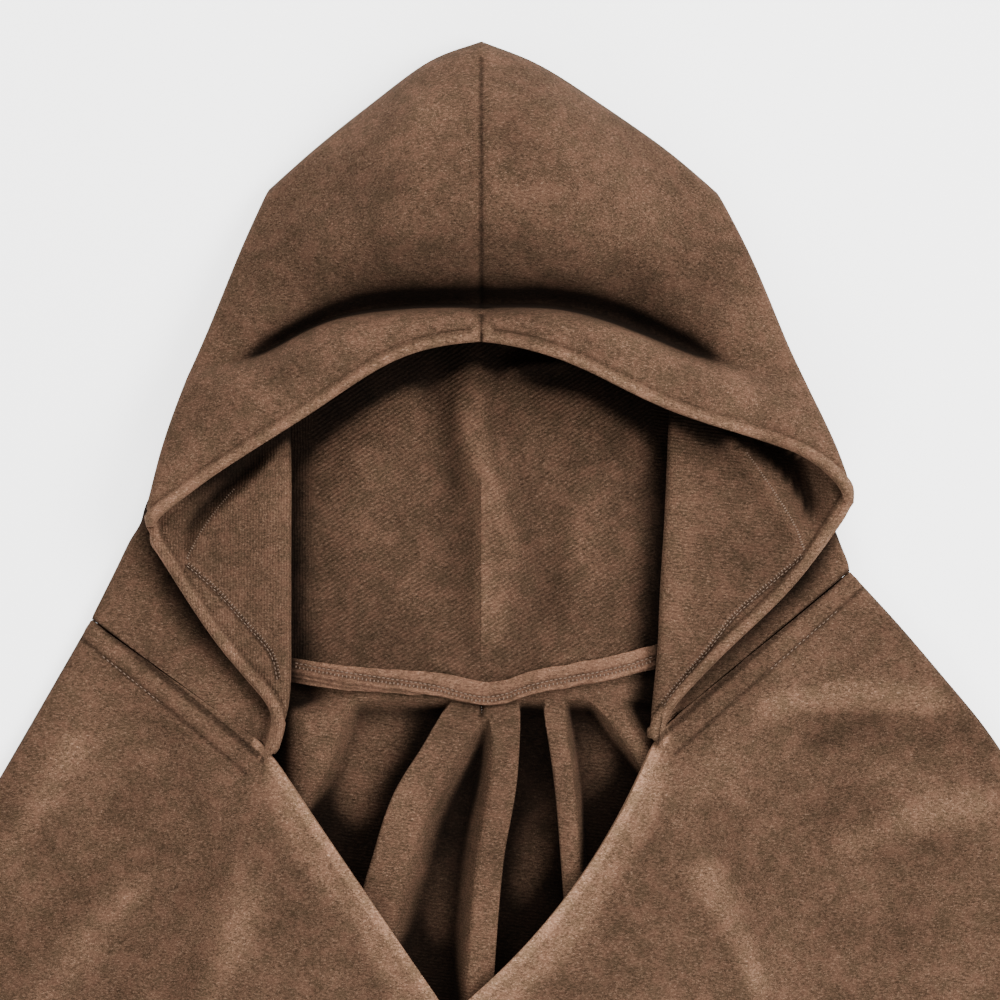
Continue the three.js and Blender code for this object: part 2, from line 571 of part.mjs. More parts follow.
// The hem, at a share of the arc from the centre to the corner.
const HEM_ANGLE = Math.asin(HEM_CORNER.out / HEM_RADIUS);
const hemOut = (share) => HEM_RADIUS * Math.sin(HEM_ANGLE * share);

const sidePoint = (half, at) => ({
  out: column(half.seam, "out", at, "at"),
  y: column(half.seam, "y", at, "at"),
});

// A body panel: straight lines from its top row to the hem, bent to follow the side seam.
function panelPoint(half, top, hemShare, at, bend) {
  const hem = { out: hemOut(hemShare), y: hemY(hemOut(hemShare)) };
  const side = sidePoint(half, at);
  const chord = {
    out: lerp(sidePoint(half, 0).out, HEM_CORNER.out, at),
    y: lerp(sidePoint(half, 0).y, HEM_CORNER.y, at),
  };
  return {
    out: lerp(top.out, hem.out, at) + bend * (side.out - chord.out),
    y: lerp(top.y, hem.y, at) + bend * (side.y - chord.y),
  };
}

// The corner where front, back and hood meet at the top of the side seam.
const neckCorner = (half) => ({ out: half.rows[0].lowOut, y: half.rows[0].lowY - CORNER_GAP });

// The neck seam of the back, at a distance from the centre line.
function neckLine(half, out) {
  const { lowOut, lowY, bow } = half.rows[0];
  const share = out / lowOut;
  return lowY * share + bow * 4 * share * (1 - share);
}

// Columns of the back run along the crests of its folds and between them, then in shares to the side.
const BETWEEN_CRESTS = [0, 0.25, 0.5, 0.75];
const SIDE_SHARES = [0, 0.09, 0.18, 0.29, 0.42, 0.57, 0.73, 0.88, 1];
const BACK_ROWS = [
  0, 0.008, 0.018, 0.03, 0.044, 0.06, 0.078, 0.098, 0.122, 0.15, 0.185, 0.225, 0.27, 0.33, 0.4, 0.49, 0.6, 0.73,
  0.87, 1,
];
const CREST_FAN = 0.62; // how far the columns of the crests spread by the hem

function backPanel(half) {
  const cloth = new Cloth();
  const corner = neckCorner(half);
  const folds = BACK_FOLDS.filter((fold) => fold.x * half.side > 0);
  const lines = [...Array(folds.length + 1).keys()];
  const hemSpread = HEM_CORNER.out * (CREST_FAN / lines.length);
  // line 0 is the centre seam, and each whole number after it a crest
  const lineOut = (line, at) => {
    const y = lerp(0, hemY(0), at);
    const outs = [0, ...folds.map((fold) => half.side * crestX(fold, y))];
    return through(
      lines,
      outs.map((out, k) => lerp(out, k * hemSpread, ease(0.25, 1, at))),
      line,
    );
  };
  const crestColumns = lines.slice(1).flatMap((k) => BETWEEN_CRESTS.map((share) => k - 1 + share));
  const rows = BACK_ROWS.map((at) => {
    const edge = panelPoint(half, corner, 1, at, 1);
    const bend = edge.y - lerp(corner.y, HEM_CORNER.y, at);
    const last = lineOut(folds.length, at);
    const outer = sharesTo(SIDE_SHARES, edge.out - last);
    const spread = (share, row) =>
      lerp(lineOut(folds.length, row), lerp(corner.out, HEM_CORNER.out, row), share);
    const onCrests = (line) => ({
      out: lineOut(line, at),
      top: lineOut(line, 0),
      hem: lineOut(line, 1),
      share: 0,
    });
    const beside = (share) => ({
      out: lerp(last, edge.out, share),
      top: spread(share, 0),
      hem: spread(share, 1),
      share,
    });
    const columns = [...crestColumns.map(onCrests), ...outer.map(beside)];
    return columns.map(({ out, top, hem, share }, j) => {
      const seam = j === 0;
      const rim = share === 1;
      const x = half.side * (seam ? SEAM_GAP / 2 : out);
      const topY = neckLine(half, top) - lerp(NECK_GAP, CORNER_GAP, ease(0.8, 1, share));
      const y = lerp(topY, hemY(hem), at) + bend * share;
      const toSide = edge.out - out;
      const rise = (SIDE_ROLL - SEAM_GAP / 2) * roll(toSide, SIDE_ROLL);
      return cloth.point(x, y, backHeight(x, y) + rise, CLOTH, seam ? "x" : rim ? "z" : null);
    });
  });
  cloth.patch(rows, half.side > 0);
  return cloth;
}

const V_SHARES = [0, 0.08, 0.17, 0.26, 0.35, 0.44, 0.53, 0.62, 0.71, 0.8, 0.9, 1];
const NECK_SHARES = [0.18, 0.36, 0.54, 0.74];
const V_COLUMNS_REACH = 0.6; // share of the hem that hangs below the V's edge
const FRONT_ROWS = [
  0, 0.009, 0.018, 0.04, 0.065, 0.09, 0.12, 0.15, 0.185, 0.22, 0.26, 0.31, 0.37, 0.44, 0.52, 0.61, 0.71, 0.81,
  0.91, 1,
];
// How far from its edge the front takes to come down to its own height.
const SIDE_SETTLES = { from: 6, to: 60 };
const V_SETTLES = 70;
const NECK_SETTLES = 45;

// The front's top row: up the V's edge, then along the neck seam to the side.
function frontTop(half, neckSeam) {
  const seam = neckSeam.map((p) => new THREE.Vector3(Math.abs(p.x), p.y, p.z));
  const [side, start] = [seam[0], seam[seam.length - 1]];
  const along = new THREE.Vector2(side.x - start.x, side.y - start.y);
  const down = new THREE.Vector2(along.y, -along.x).normalize().multiplyScalar(NECK_GAP);
  const neckPoint = (share) => ({
    out: lerp(start.x + down.x, side.x, share),
    y: lerp(start.y + down.y, side.y - CORNER_GAP, share),
    z: lerp(start.z, seam[2].z, share),
    along: lerp(V_COLUMNS_REACH, 1, share),
    onV: false,
  });
  const corner = neckPoint(0);
  const bottom = { out: half.side * V_BOTTOM.x, y: V_BOTTOM.y };
  const chord = new THREE.Vector2(corner.out - bottom.out, corner.y - bottom.y);
  const outwards = new THREE.Vector2(chord.y, -chord.x).normalize().multiplyScalar(half.vBow);
  const edge = V_SHARES.map((share) => ({
    out: lerp(bottom.out, corner.out, share) + outwards.x * 4 * share * (1 - share),
    y: lerp(bottom.y, corner.y, share) + outwards.y * 4 * share * (1 - share),
    z: column(V_EDGE, "z", share, "at"),
    along: share * V_COLUMNS_REACH,
    onV: true,
  }));
  const shares = [...NECK_SHARES, ...ROLL_STEPS.map((d) => 1 - d / along.length())];
  return [...edge, ...shares.map(neckPoint)];
}

function frontPanel(half, neckSeam) {
  const cloth = new Cloth();
  const top = frontTop(half, neckSeam);
  const rim = top.length - 1;
  const rollStart = rim - ROLL_STEPS.length + 1;
  const hemShares = top.map((start, j) => {
    const inner = 1 - ROLL_STEPS[0] / HEM_CORNER.out;
    if (j < rollStart) return (start.along * inner) / top[rollStart].along;
    return 1 - ROLL_STEPS[j - rollStart] / HEM_CORNER.out;
  });
  const rows = FRONT_ROWS.map((at) => {
    const side = panelPoint(half, top[rim], 1, at, 1);
    return top.map((start, j) => {
      const p = panelPoint(half, start, hemShares[j], at, ease(0.5, 1, start.along));
      const toSide = Math.hypot(side.out - p.out, side.y - p.y);
      const x = j === 0 ? lerp(V_BOTTOM.x, 0, at) + (half.side * SEAM_GAP) / 2 : half.side * p.out;
      const fromTop = Math.hypot(p.out - start.out, p.y - start.y);
      const level = lerp(FRONT_SIDE_Z, frontHeight(x, p.y), ease(SIDE_SETTLES.from, SIDE_SETTLES.to, toSide));
      const settled = lerp(start.z, level, ease(0, start.onV ? V_SETTLES : NECK_SETTLES, fromTop));
      const drop = (SIDE_ROLL - SEAM_GAP / 2) * roll(j === rim ? 0 : toSide, SIDE_ROLL);
      const hem = start.onV ? 1 - ease(HEM_STEP * V_HEM_WIDTH, V_HEM_WIDTH, fromTop) : 0;
      const lock = { 0: "x", [rim]: "z" }[j] ?? null;
      return cloth.point(x, p.y, settled - drop, lerp(CLOTH, HEM_WALL, hem), lock);
    });
  });
  cloth.patch(rows, half.side < 0);
  return cloth;
}

// The band over the neck seam, on the inside of the back.
function neckBand() {
  const cloth = new Cloth();
  const columns = [...Array(BAND.steps + 1).keys()].map((i) => lerp(BAND.from, BAND.to, i / BAND.steps));
  const rows = [-0.5, -0.25, 0, 0.25, 0.5].map((share) =>
    columns.map((x) => {
      const y = neckLine(HALVES[x < 0 ? 0 : 1], Math.abs(x)) + BAND.drop + share * BAND.width;
      const beside = [-5, 0, 5].flatMap((dx) => [-7, 0, 7].map((dy) => [x + dx, y + dy]));
      const under = Math.max(...beside.flatMap(([px, py]) => [insideHeight(px, py), backHeight(px, py)]));
      const belly = BAND.belly * (1 - (2 * share) ** 2);
      return cloth.point(x, y, under + (CLOTH + BAND.wall) / 2 + BAND.clear + belly, BAND.wall);
    }),
  );
  cloth.patch(rows, false);
  return cloth;
}

// Assembly
const OUTER_KNIT = { color: 0x6a4f3d, roughness: 0.95, metalness: 0 };
const INNER_KNIT = { color: 0x6e5341, roughness: 0.95, metalness: 0 };
const BAND_KNIT = { color: 0x7d5f4b, roughness: 0.95, metalness: 0 };

function piece(name, cloth, finish) {
  const mesh = new THREE.Mesh(cloth.wall(), new THREE.MeshStandardMaterial(finish));
  mesh.name = name;
  return mesh;
}

const garment = new THREE.Group();
for (const half of HALVES) {
  const made = hood(half);
  garment.add(piece(`hood_${half.name}`, made.cloth, OUTER_KNIT));
  garment.add(piece(`front_${half.name}`, frontPanel(half, made.neckSeam), OUTER_KNIT));
  garment.add(piece(`back_${half.name}`, backPanel(half), INNER_KNIT));
}
garment.add(piece("neck_band", neckBand(), BAND_KNIT));

// The origin is under the middle of the garment, on the surface.
const box = new THREE.Box3().setFromObject(garment);
const middle = box.getCenter(new THREE.Vector3());
garment.position.set(-middle.x, -middle.y, -box.min.z);

const part = new THREE.Group();
part.add(garment);
export default part;
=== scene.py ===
"""A hooded knit poncho laid flat on its back: its cloth, its sewing, its finishes and the stage.

Lengths in the tables are millimetres of the garment: x to the right of the centre seam,
y up from the back neck seam towards the tip of the hood, z up from the surface.
"""

import json
import math

import bmesh
import bpy
import numpy as np
from mathutils import Matrix, Vector, noise
from mathutils.bvhtree import BVHTree
from mathutils.kdtree import KDTree

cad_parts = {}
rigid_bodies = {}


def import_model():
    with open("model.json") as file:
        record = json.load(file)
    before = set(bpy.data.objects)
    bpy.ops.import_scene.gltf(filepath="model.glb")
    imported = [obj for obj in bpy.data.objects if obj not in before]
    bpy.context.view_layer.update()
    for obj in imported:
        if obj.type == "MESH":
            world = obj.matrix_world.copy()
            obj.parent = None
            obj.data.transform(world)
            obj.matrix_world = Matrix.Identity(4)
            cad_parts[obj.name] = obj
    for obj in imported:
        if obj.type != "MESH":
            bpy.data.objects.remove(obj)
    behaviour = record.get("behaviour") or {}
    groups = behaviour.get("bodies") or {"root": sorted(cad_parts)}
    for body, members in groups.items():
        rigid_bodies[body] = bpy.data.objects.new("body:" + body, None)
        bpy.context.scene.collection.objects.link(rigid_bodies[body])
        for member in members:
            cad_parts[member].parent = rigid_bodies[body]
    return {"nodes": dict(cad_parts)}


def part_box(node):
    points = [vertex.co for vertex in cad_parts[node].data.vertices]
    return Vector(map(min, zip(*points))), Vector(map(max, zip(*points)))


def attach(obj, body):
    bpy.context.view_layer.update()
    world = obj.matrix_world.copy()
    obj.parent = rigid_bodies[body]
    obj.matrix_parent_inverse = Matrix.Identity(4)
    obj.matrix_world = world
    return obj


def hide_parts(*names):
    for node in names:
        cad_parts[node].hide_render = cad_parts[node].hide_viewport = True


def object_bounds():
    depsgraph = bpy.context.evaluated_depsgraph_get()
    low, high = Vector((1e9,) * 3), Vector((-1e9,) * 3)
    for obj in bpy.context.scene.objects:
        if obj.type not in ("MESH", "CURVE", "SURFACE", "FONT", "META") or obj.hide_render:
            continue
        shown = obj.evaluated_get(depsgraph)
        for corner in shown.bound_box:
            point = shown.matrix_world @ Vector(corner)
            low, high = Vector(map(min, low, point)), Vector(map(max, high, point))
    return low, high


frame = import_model()
CAD_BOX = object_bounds()

bl_info = {
    "name": "Hooded Knit Poncho",
    "version": (1, 0, 0),
    "blender": (4, 5, 0),
    "location": "View3D > Sidebar > Poncho",
    "description": "Makes the cloth, the sewing and the stage of a hooded knit poncho",
    "category": "Add Mesh",
}

MM = 0.001

# Where the garment lies in the frame
HOOD_REACH = 392.18  # from the back neck seam to the outside of the hood's tip
SEAM_X = (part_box("hood_left")[1].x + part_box("hood_right")[0].x) / 2
NECK_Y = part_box("hood_left")[1].y - HOOD_REACH * MM
ORIGIN = np.array([SEAM_X, NECK_Y, 0.0])

# Cloth
WALL = 2.4
CRUSHED = 0.9  # share of the wall that stays where the cloth is pressed onto the surface
OUTER, INNER, RIM = 0, 1, 2  # sides of a wall, as material indices
SIGNS = {"left": -1, "right": 1}
FAR = 60  # a distance past the reach of every seam and edge
ON_TOP = 0.5  # a point that is covered by less than this is on the topmost cloth
SKY = 300  # a height above all the cloth, from which lines are cast down on it
DOWN = Vector((0, 0, -1))
SEAM_SNAP = 0.25  # the two halves are drawn together where they are closer to the centre than this,
ON_SEAM = 0.02  # so that their points on the seam are closer than this,
SEAM_LAP = 0.12  # and they lap over the centre by this much
RIM_REACH = 6.2  # further than the thickest wall
SKIN = 0.02  # depth below a face from which a line is cast through the wall
SQUARE = -0.9  # the two sides of the wall face each other at least this squarely
GENTLE_TURN = math.radians(40)  # a side of the wall turns less than this from face to face
BORDER_ROWS = 3  # rows of faces that a side may still gain at its border
SMALL_GROUP = 100  # faces; either side of a wall has more
FLATTEST_JOIN = math.radians(50)  # two triangles are joined where they turn less than this
SQUAREST_JOIN = math.radians(70)  # and the corners of the joined face are off square by less than this
LINE_STEPS = 8  # points that a rounded line gains between two of its own
BEAD = 7  # width of the rolled edge of the face opening
BEAD_GROOVE = {"at": 7.8, "width": 1.1, "share": 0.5}  # where the roll ends; as deep as a share of the roll
V_HEM = 12  # width of the turned hem of the V
BODY_HEM = 22  # width of the turned hem at the bottom
NECK_TOPSTITCH = 13  # from the neck seam to the row of stitches below it
BAND_FALL = 6.5  # how far the neck band sags at the centre
BAND_LOWER = -3  # lower edge of the neck band at the centre, before it sags

# The neck seam of the fronts, and the V of each front from its bottom to the neck seam
NECK_SEAM = {"left": [(-235, 42), (-131, -42)], "right": [(222, 71), (105, -31)]}
V_REACH = {"left": 132, "right": 109}
V_BOTTOM_Y = -195
BODY_HEM_Y = -600  # the rim below this is the hem of the body
# The free corners of the face opening, the way in from them and how far they are blunted
FACE_CORNERS = {"left": ((-202, 97), (0.98, 0.2), 4.0), "right": ((223, 113), (-0.93, -0.36), 2.5)}
LAPEL_FEET = {"left": (-131, -44), "right": (108, -35)}


def to_frame(x, y, z=0.0):
    """A point of the garment, in the frame's metres."""
    return Vector((SEAM_X + x * MM, NECK_Y + y * MM, z * MM))


# --- Lines on the cloth ---


def smooth_line(path):
    """A rounded line through the path's points, as an array of plan points."""
    points = np.array([p[:2] for p in path], float)
    padded = np.vstack([2 * points[0] - points[1], points, 2 * points[-1] - points[-2]])
    made = []
    for a, b, c, d in zip(padded, padded[1:], padded[2:], padded[3:]):
        slope, bend, twist = c - a, 2 * a - 5 * b + 4 * c - d, 3 * b - a - 3 * c + d
        for t in np.arange(LINE_STEPS) / LINE_STEPS:
            made.append(0.5 * (2 * b + slope * t + bend * t**2 + twist * t**3))
    made.append(points[-1])
    return np.array(made)


def along_line(points, path):
    """For each point, seen in plan: how far to the left of the line it lies, and its share of the way."""
    line = smooth_line(path)
    start, step = line[:-1], np.diff(line, axis=0)
    length = np.linalg.norm(step, axis=1)
    run = np.concatenate([[0], np.cumsum(length)])
    best = np.full(len(points), np.inf)
    side = np.zeros(len(points))
    share = np.zeros(len(points))
    for k in range(len(step)):
        gap = points[:, :2] - start[k]
        t = np.clip(gap @ step[k] / length[k] ** 2, 0, 1)
        off = gap - t[:, None] * step[k]
        distance = np.hypot(off[:, 0], off[:, 1])
        nearer = distance < best
        best[nearer] = distance[nearer]
        turn = step[k][0] * gap[:, 1] - step[k][1] * gap[:, 0]
        side[nearer] = np.sign(turn[nearer])
        share[nearer] = ((run[k] + t * length[k]) / run[-1])[nearer]
    return best * np.where(side == 0, 1, side), share


def ease(low, high, value):
    """0 below low, 1 above high and smooth between."""
    t = np.clip((value - low) / (high - low), 0, 1)
    return t * t * (3 - 2 * t)


def lerp(low, high, share):
    return low + (high - low) * share


def bump(distance, width):
    """1 where the distance is 0, falling to about a third where it is the width."""
    return np.exp(-((distance / width) ** 2))


# --- Shells ---


def merged_wall(node):
    """The node's wall as one connected mesh, with what lies near the centre seam drawn onto it."""
    bm = bmesh.new()
    bm.from_mesh(frame["nodes"][node].data)
    bmesh.ops.remove_doubles(bm, verts=bm.verts, dist=0.01 * MM)
    for v in bm.verts:
        if abs(v.co.x - SEAM_X) < SEAM_SNAP * MM:
            v.co.x = SEAM_X
    return bm


def label_sides(bm, seed, label):
    """Tells the two sides of the wall and its rim apart, from the label of the side nearest the seed.
    A line into the cloth leaves it squarely through the other side, but not from the rim."""
    bm.normal_update()
    tree = BVHTree.FromBMesh(bm)
    sides = set()
    for face in bm.faces:
        face.material_index = RIM
        start = face.calc_center_median() - face.normal * SKIN * MM
        place, opposite, _, _ = tree.ray_cast(start, -face.normal, RIM_REACH * MM)
        if place and opposite.dot(face.normal) < SQUARE:
            sides.add(face)
    at = to_frame(*seed)
    left = set(sides)
    while left:
        waiting = [min(left, key=lambda face: (face.calc_center_median() - at).length)]
        group = set(waiting)
        while waiting:
            for edge in waiting.pop().edges:
                fresh = [face for face in edge.link_faces if face in left and face not in group]
                group.update(fresh)
                waiting.extend(fresh)
        left -= group
        if len(group) < SMALL_GROUP:
            continue
        for face in group:
            face.material_index = label
        label = INNER + OUTER - label
    for _ in range(BORDER_ROWS):
        for face in bm.faces:
            if face.material_index != RIM:
                continue
            for edge in face.edges:
                beside = [f.material_index for f in edge.link_faces if f.material_index != RIM]
                if beside and edge.calc_face_angle(math.pi) < GENTLE_TURN:
                    face.material_index = beside[0]


def rounded_shell(name, bm, levels):
    """The wall subdivided and smoothed, with its rim and the corners of the rim kept square."""
    crease = bm.edges.layers.float.new("crease_edge")
    for edge in bm.edges:
        sides = {face.material_index for face in edge.link_faces}
        if RIM in sides and (len(sides) > 1 or edge.calc_face_angle(0) > GENTLE_TURN):
            edge[crease] = 1.0
    rough = bpy.data.meshes.new(name + "_rough")
    bm.to_mesh(rough)
    bm.free()
    piece = bpy.data.objects.new(name, rough)
    bpy.context.scene.collection.objects.link(piece)
    subdivide = piece.modifiers.new("Subdivide", "SUBSURF")
    subdivide.levels = subdivide.render_levels = levels
    subdivide.use_limit_surface = False
    depsgraph = bpy.context.evaluated_depsgraph_get()
    smooth = bpy.data.meshes.new_from_object(piece.evaluated_get(depsgraph))
    piece.modifiers.clear()
    piece.data = smooth
    smooth.name = name
    bpy.data.meshes.remove(rough)
    return piece


def refine(bm, box):
    """Splits the faces in the box: its ranges of distance from the centre seam, of y and of z."""
    bm.faces.ensure_lookup_table()
    bm.edges.index_update()
    middles = (np.array([face.calc_center_median() for face in bm.faces]) - ORIGIN) / MM
    middles[:, 0] = np.abs(middles[:, 0])
    low, high = np.array(box).T
    chosen = ((middles > low) & (middles < high)).all(axis=1)
    edges = {edge for face, pick in zip(bm.faces, chosen) if pick for edge in face.edges}
    ordered = sorted(edges, key=lambda edge: edge.index)
    bmesh.ops.subdivide_edges(bm, edges=ordered, cuts=1, use_grid_fill=True)


def soften_rim(bm, width, closed=lambda y: False):
    """Rounds the two corners of the rim, but where a seam is closed it keeps them sharp and out of sight."""
    corners = []
    for edge in bm.edges:
        if len({face.material_index for face in edge.link_faces}) < 2:
            continue
        middle = ((edge.verts[0].co + edge.verts[1].co) / 2 - to_frame(0, 0)) / MM
        if abs(middle.x) < SEAM_SNAP and closed(middle.y):
            edge.smooth = False
        else:
            corners.append(edge)
    bmesh.ops.bevel(
        bm,
        geom=corners,
        offset=width * MM,
        offset_type="OFFSET",
        affect="EDGES",
        segments=2,
        profile=0.5,
        material=-1,
        clamp_overlap=True,
    )


# Where the layers of the hood begin and end: depth below the topmost cloth, distance from the centre
# seam and height
COVERED = (6, 15)
OPENING_SIDE = (101, 106)
INSIDE_HIGH = (26, 30)
CROWN_LOW = (20, 27)
LAPEL_SIDE = (100, 104)
LAPEL_LOW = (19, 24)
FADE = (0.25, 0.25)  # share of a crease that it takes to rise at its start and to die out at its end


class Surface:
    """A shell's vertices in millimetres of the garment, moved together and then written back."""

    def __init__(self, piece):
        self.piece = piece
        mesh = piece.data
        count = len(mesh.vertices)
        flat = np.zeros(count * 3, np.float32)
        mesh.vertices.foreach_get("co", flat)
        self.points = (flat.reshape(-1, 3).astype(float) - ORIGIN) / MM
        mesh.vertex_normals.foreach_get("vector", flat)
        self.normals = flat.reshape(-1, 3).astype(float)
        tree = BVHTree.FromPolygons(
            [tuple(p) for p in self.points],
            [tuple(face.vertices) for face in mesh.polygons],
        )
        self.seam = np.abs(self.x) < ON_SEAM
        self.cover = np.zeros(count)  # how deep a point lies below the topmost cloth
        for i, (x, y, z) in enumerate(self.points):
            hit = tree.ray_cast(Vector((x, y, SKY)), DOWN)[0]
            self.cover[i] = hit.z - z if hit else 0

    @property
    def x(self):
        return self.points[:, 0]

    @property
    def y(self):
        return self.points[:, 1]

    @property
    def z(self):
        return self.points[:, 2]

    def lift(self, height):
        """Moves both sides of the wall up together."""
        self.points[:, 2] += height

    def swell(self, thickness):
        """Moves each side of the wall outwards, but leaves the centre seam closed."""
        self.points += (self.normals * np.where(self.seam[:, None], (0, 1, 1), 1)) * thickness[:, None]

    def press(self, creases, strength):
        """Presses creases in; they are listed by the layer that they are in."""
        layers = self.layers()
        for layer, rows in creases.items():
            for row in rows:
                self.crease(strength * layers[layer], *row)

    def crease(self, strength, path, rise, left, right=None, fade=FADE):
        """Makes one crease: a soft ridge where its rise is above 0, or a trough."""
        off, share = along_line(self.points, path)
        profile = bump(off, np.where(off > 0, left, right or left))
        ends = ease(0, fade[0], share) * (1 - ease(1 - fade[1], 1, share))
        self.lift(strength * rise * profile * ends)

    def layers(self):
        """How far each point belongs to the layers of cloth that show, from 0 to 1."""
        top = 1 - ease(*COVERED, self.cover)
        out = np.abs(self.x)
        return {
            "any": np.ones(len(self.points)),
            "top": top,
            "inside": (1 - ease(*OPENING_SIDE, out)) * (1 - ease(*INSIDE_HIGH, self.z)),
            "crown": top * ease(*CROWN_LOW, self.z),
            "lapel": top * ease(*LAPEL_SIDE, out) * ease(*LAPEL_LOW, self.z),
        }

    def topmost(self):
        """Height of the topmost cloth above or below each point."""
        return self.z + self.cover

    def blunt(self, corner, inwards, amount, reach=8):
        """Draws a corner in, so that it is round."""
        near = bump(np.hypot(self.x - corner[0], self.y - corner[1]), reach)
        self.points[:, :2] += amount * near[:, None] * np.array(inwards)

    def ruffle(self, height, span, seed):
        """Small uneven waves over the whole cloth."""
        waves = np.array([noise.noise(Vector(p / span) + Vector((seed, 0, 0))) for p in self.points])
        self.lift(height * waves)

    def rest(self):
        """Keeps the cloth on the surface it lies on, without crushing its wall."""
        lowest = np.where(self.cover < ON_TOP, CRUSHED * WALL, 0)
        self.points[:, 2] = np.maximum(self.points[:, 2], lowest)

    def write(self):
        self.points[self.seam, 0] -= SEAM_LAP * np.sign(self.x.mean())
        flat = (self.points * MM + ORIGIN).astype(np.float32).ravel()
        self.piece.data.vertices.foreach_set("co", flat)
        self.piece.data.update()

    def store(self, **numbers):
        """Keeps numbers of each vertex for the finish to read."""
        for name, values in numbers.items():
            store(self.piece, name, np.broadcast_to(values, len(self.points)))


def store(piece, name, values):
    """Keeps one number of each vertex."""
    attribute = piece.data.attributes.new(name, "FLOAT", "POINT")
    attribute.data.foreach_set("value", np.ascontiguousarray(values, np.float32))


def edge_distance(piece, points, free):
    """How far each point lies from the free edges of its cloth; free says which rim points count."""
    mesh = piece.data
    on_rim = {v for face in mesh.polygons if face.material_index == RIM for v in face.vertices}
    rim = np.array(sorted(on_rim), int)
    rim = rim[free(points[rim])]
    tree = KDTree(len(rim))
    for k, index in enumerate(rim):
        tree.insert(points[index], k)
    tree.balance()
    return np.array([tree.find(p)[2] for p in points])


def finish_piece(piece, node, finishes=None):
    """Gives the piece its finishes, ties it to the frame and shades it smooth."""
    for finish in finishes or (outer_knit(), inner_knit(), outer_knit()):
        piece.data.materials.append(finish)
    piece.data.shade_smooth()
    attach(piece, "root")
    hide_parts(node)


# --- Finishes ---


class Socket:
    """One output of a material's nodes, so that shader maths reads as sums."""

    def __init__(self, finish, link):
        self.finish = finish
        self.link = link

    def maths(self, operation, *others):
        return self.finish.node("ShaderNodeMath", {"operation": operation}, [self, *others])

    def __add__(self, other):
        return self.maths("ADD", other)

    def __sub__(self, other):
        return self.maths("SUBTRACT", other)

    def __rsub__(self, other):
        return self.finish.node("ShaderNodeMath", {"operation": "SUBTRACT"}, [other, self])

    def __mul__(self, other):
        return self.maths("MULTIPLY", other)

    __radd__ = __add__
    __rmul__ = __mul__

    def between(self, low, high):
        """0 below low, 1 above high and smooth between."""
        return self.finish.node(
            "ShaderNodeMapRange",
            {"interpolation_type": "SMOOTHSTEP"},
            {"Value": self, "From Min": low, "From Max": high},
        )

    def sine(self):
        return self.maths("SINE")


class Finish:
    """A material, built from its nodes."""

    def __init__(self, name):
        self.material = bpy.data.materials.new(name)
        self.material.use_nodes = True
        self.tree = self.material.node_tree
        self.shader = self.tree.nodes["Principled BSDF"]

    def feed(self, entry, value):
        if isinstance(value, Socket):
            self.tree.links.new(value.link, entry)
        elif isinstance(value, (tuple, list)) and entry.type == "RGBA" and len(value) == 3:
            entry.default_value = (*value, 1)
        else:
            entry.default_value = value

    def node(self, kind, settings=None, sockets=(), output=0):
        """A new node: its settings first, then the values or links of its sockets."""
        made = self.tree.nodes.new(kind)
        for key, value in (settings or {}).items():
            setattr(made, key, value)
        entries = sockets.items() if isinstance(sockets, dict) else enumerate(sockets)
        for key, value in entries:
            self.feed(made.inputs[key], value)
        return Socket(self, made.outputs[output])

    def millimetres(self):
        """The place on the garment, in millimetres."""
        place = self.node("ShaderNodeTexCoord", output="Object")
        return self.node("ShaderNodeVectorMath", {"operation": "SCALE"}, {0: place, "Scale": 1 / MM})

    def attribute(self, name):
        return self.node("ShaderNodeAttribute", {"attribute_name": name}, output="Fac")

    def turned(self, place, degrees, stretch):
        """The place turned about the vertical and drawn out along its new x."""
        return self.node(
            "ShaderNodeMapping",
            {},
            {"Vector": place, "Rotation": (0, 0, math.radians(degrees)), "Scale": (1 / stretch, 1, 1)},
        )

    def grain(self, place, size, detail=2.0, rough=0.5):
        """Soft noise whose grains are about size across, from 0 to 1."""
        return self.node(
            "ShaderNodeTexNoise",
            {},
            {"Vector": place, "Scale": 1 / size, "Detail": detail, "Roughness": rough},
        )

    def mixed(self, share, first, second):
        return self.node(
            "ShaderNodeMix",
            {"data_type": "RGBA"},
            {0: share, 6: first, 7: second},
            output=2,
        )

    def shaded(self, colour, amount):
        """The colour made lighter or darker."""
        return self.node("ShaderNodeVectorMath", {"operation": "SCALE"}, {0: colour, "Scale": amount})

    def part(self, place, axis):
        return self.node("ShaderNodeSeparateXYZ", {}, [place], output=axis)

    def set(self, **sockets):
        for name, value in sockets.items():
            self.feed(self.shader.inputs[name.replace("_", " ")], value)


# The yarn, in millimetres: the turn, the drawn-out length and the size of its two lots of fibres, and the
# sizes of its finest grain, its clouds, its drift over the garment, its lumps and its wandering ribs
FIBRES = [(32, 2.2, 0.95), (-24, 2.0, 1.15)]
FINE, CLOUD, DRIFT, LUMP, WANDER = 0.6, 11.0, 55.0, 3.4, 7.0
TONE = {"even": 0.12, "clouds": 0.9, "drift": 1.26}  # how light the yarn is, and by how much that varies


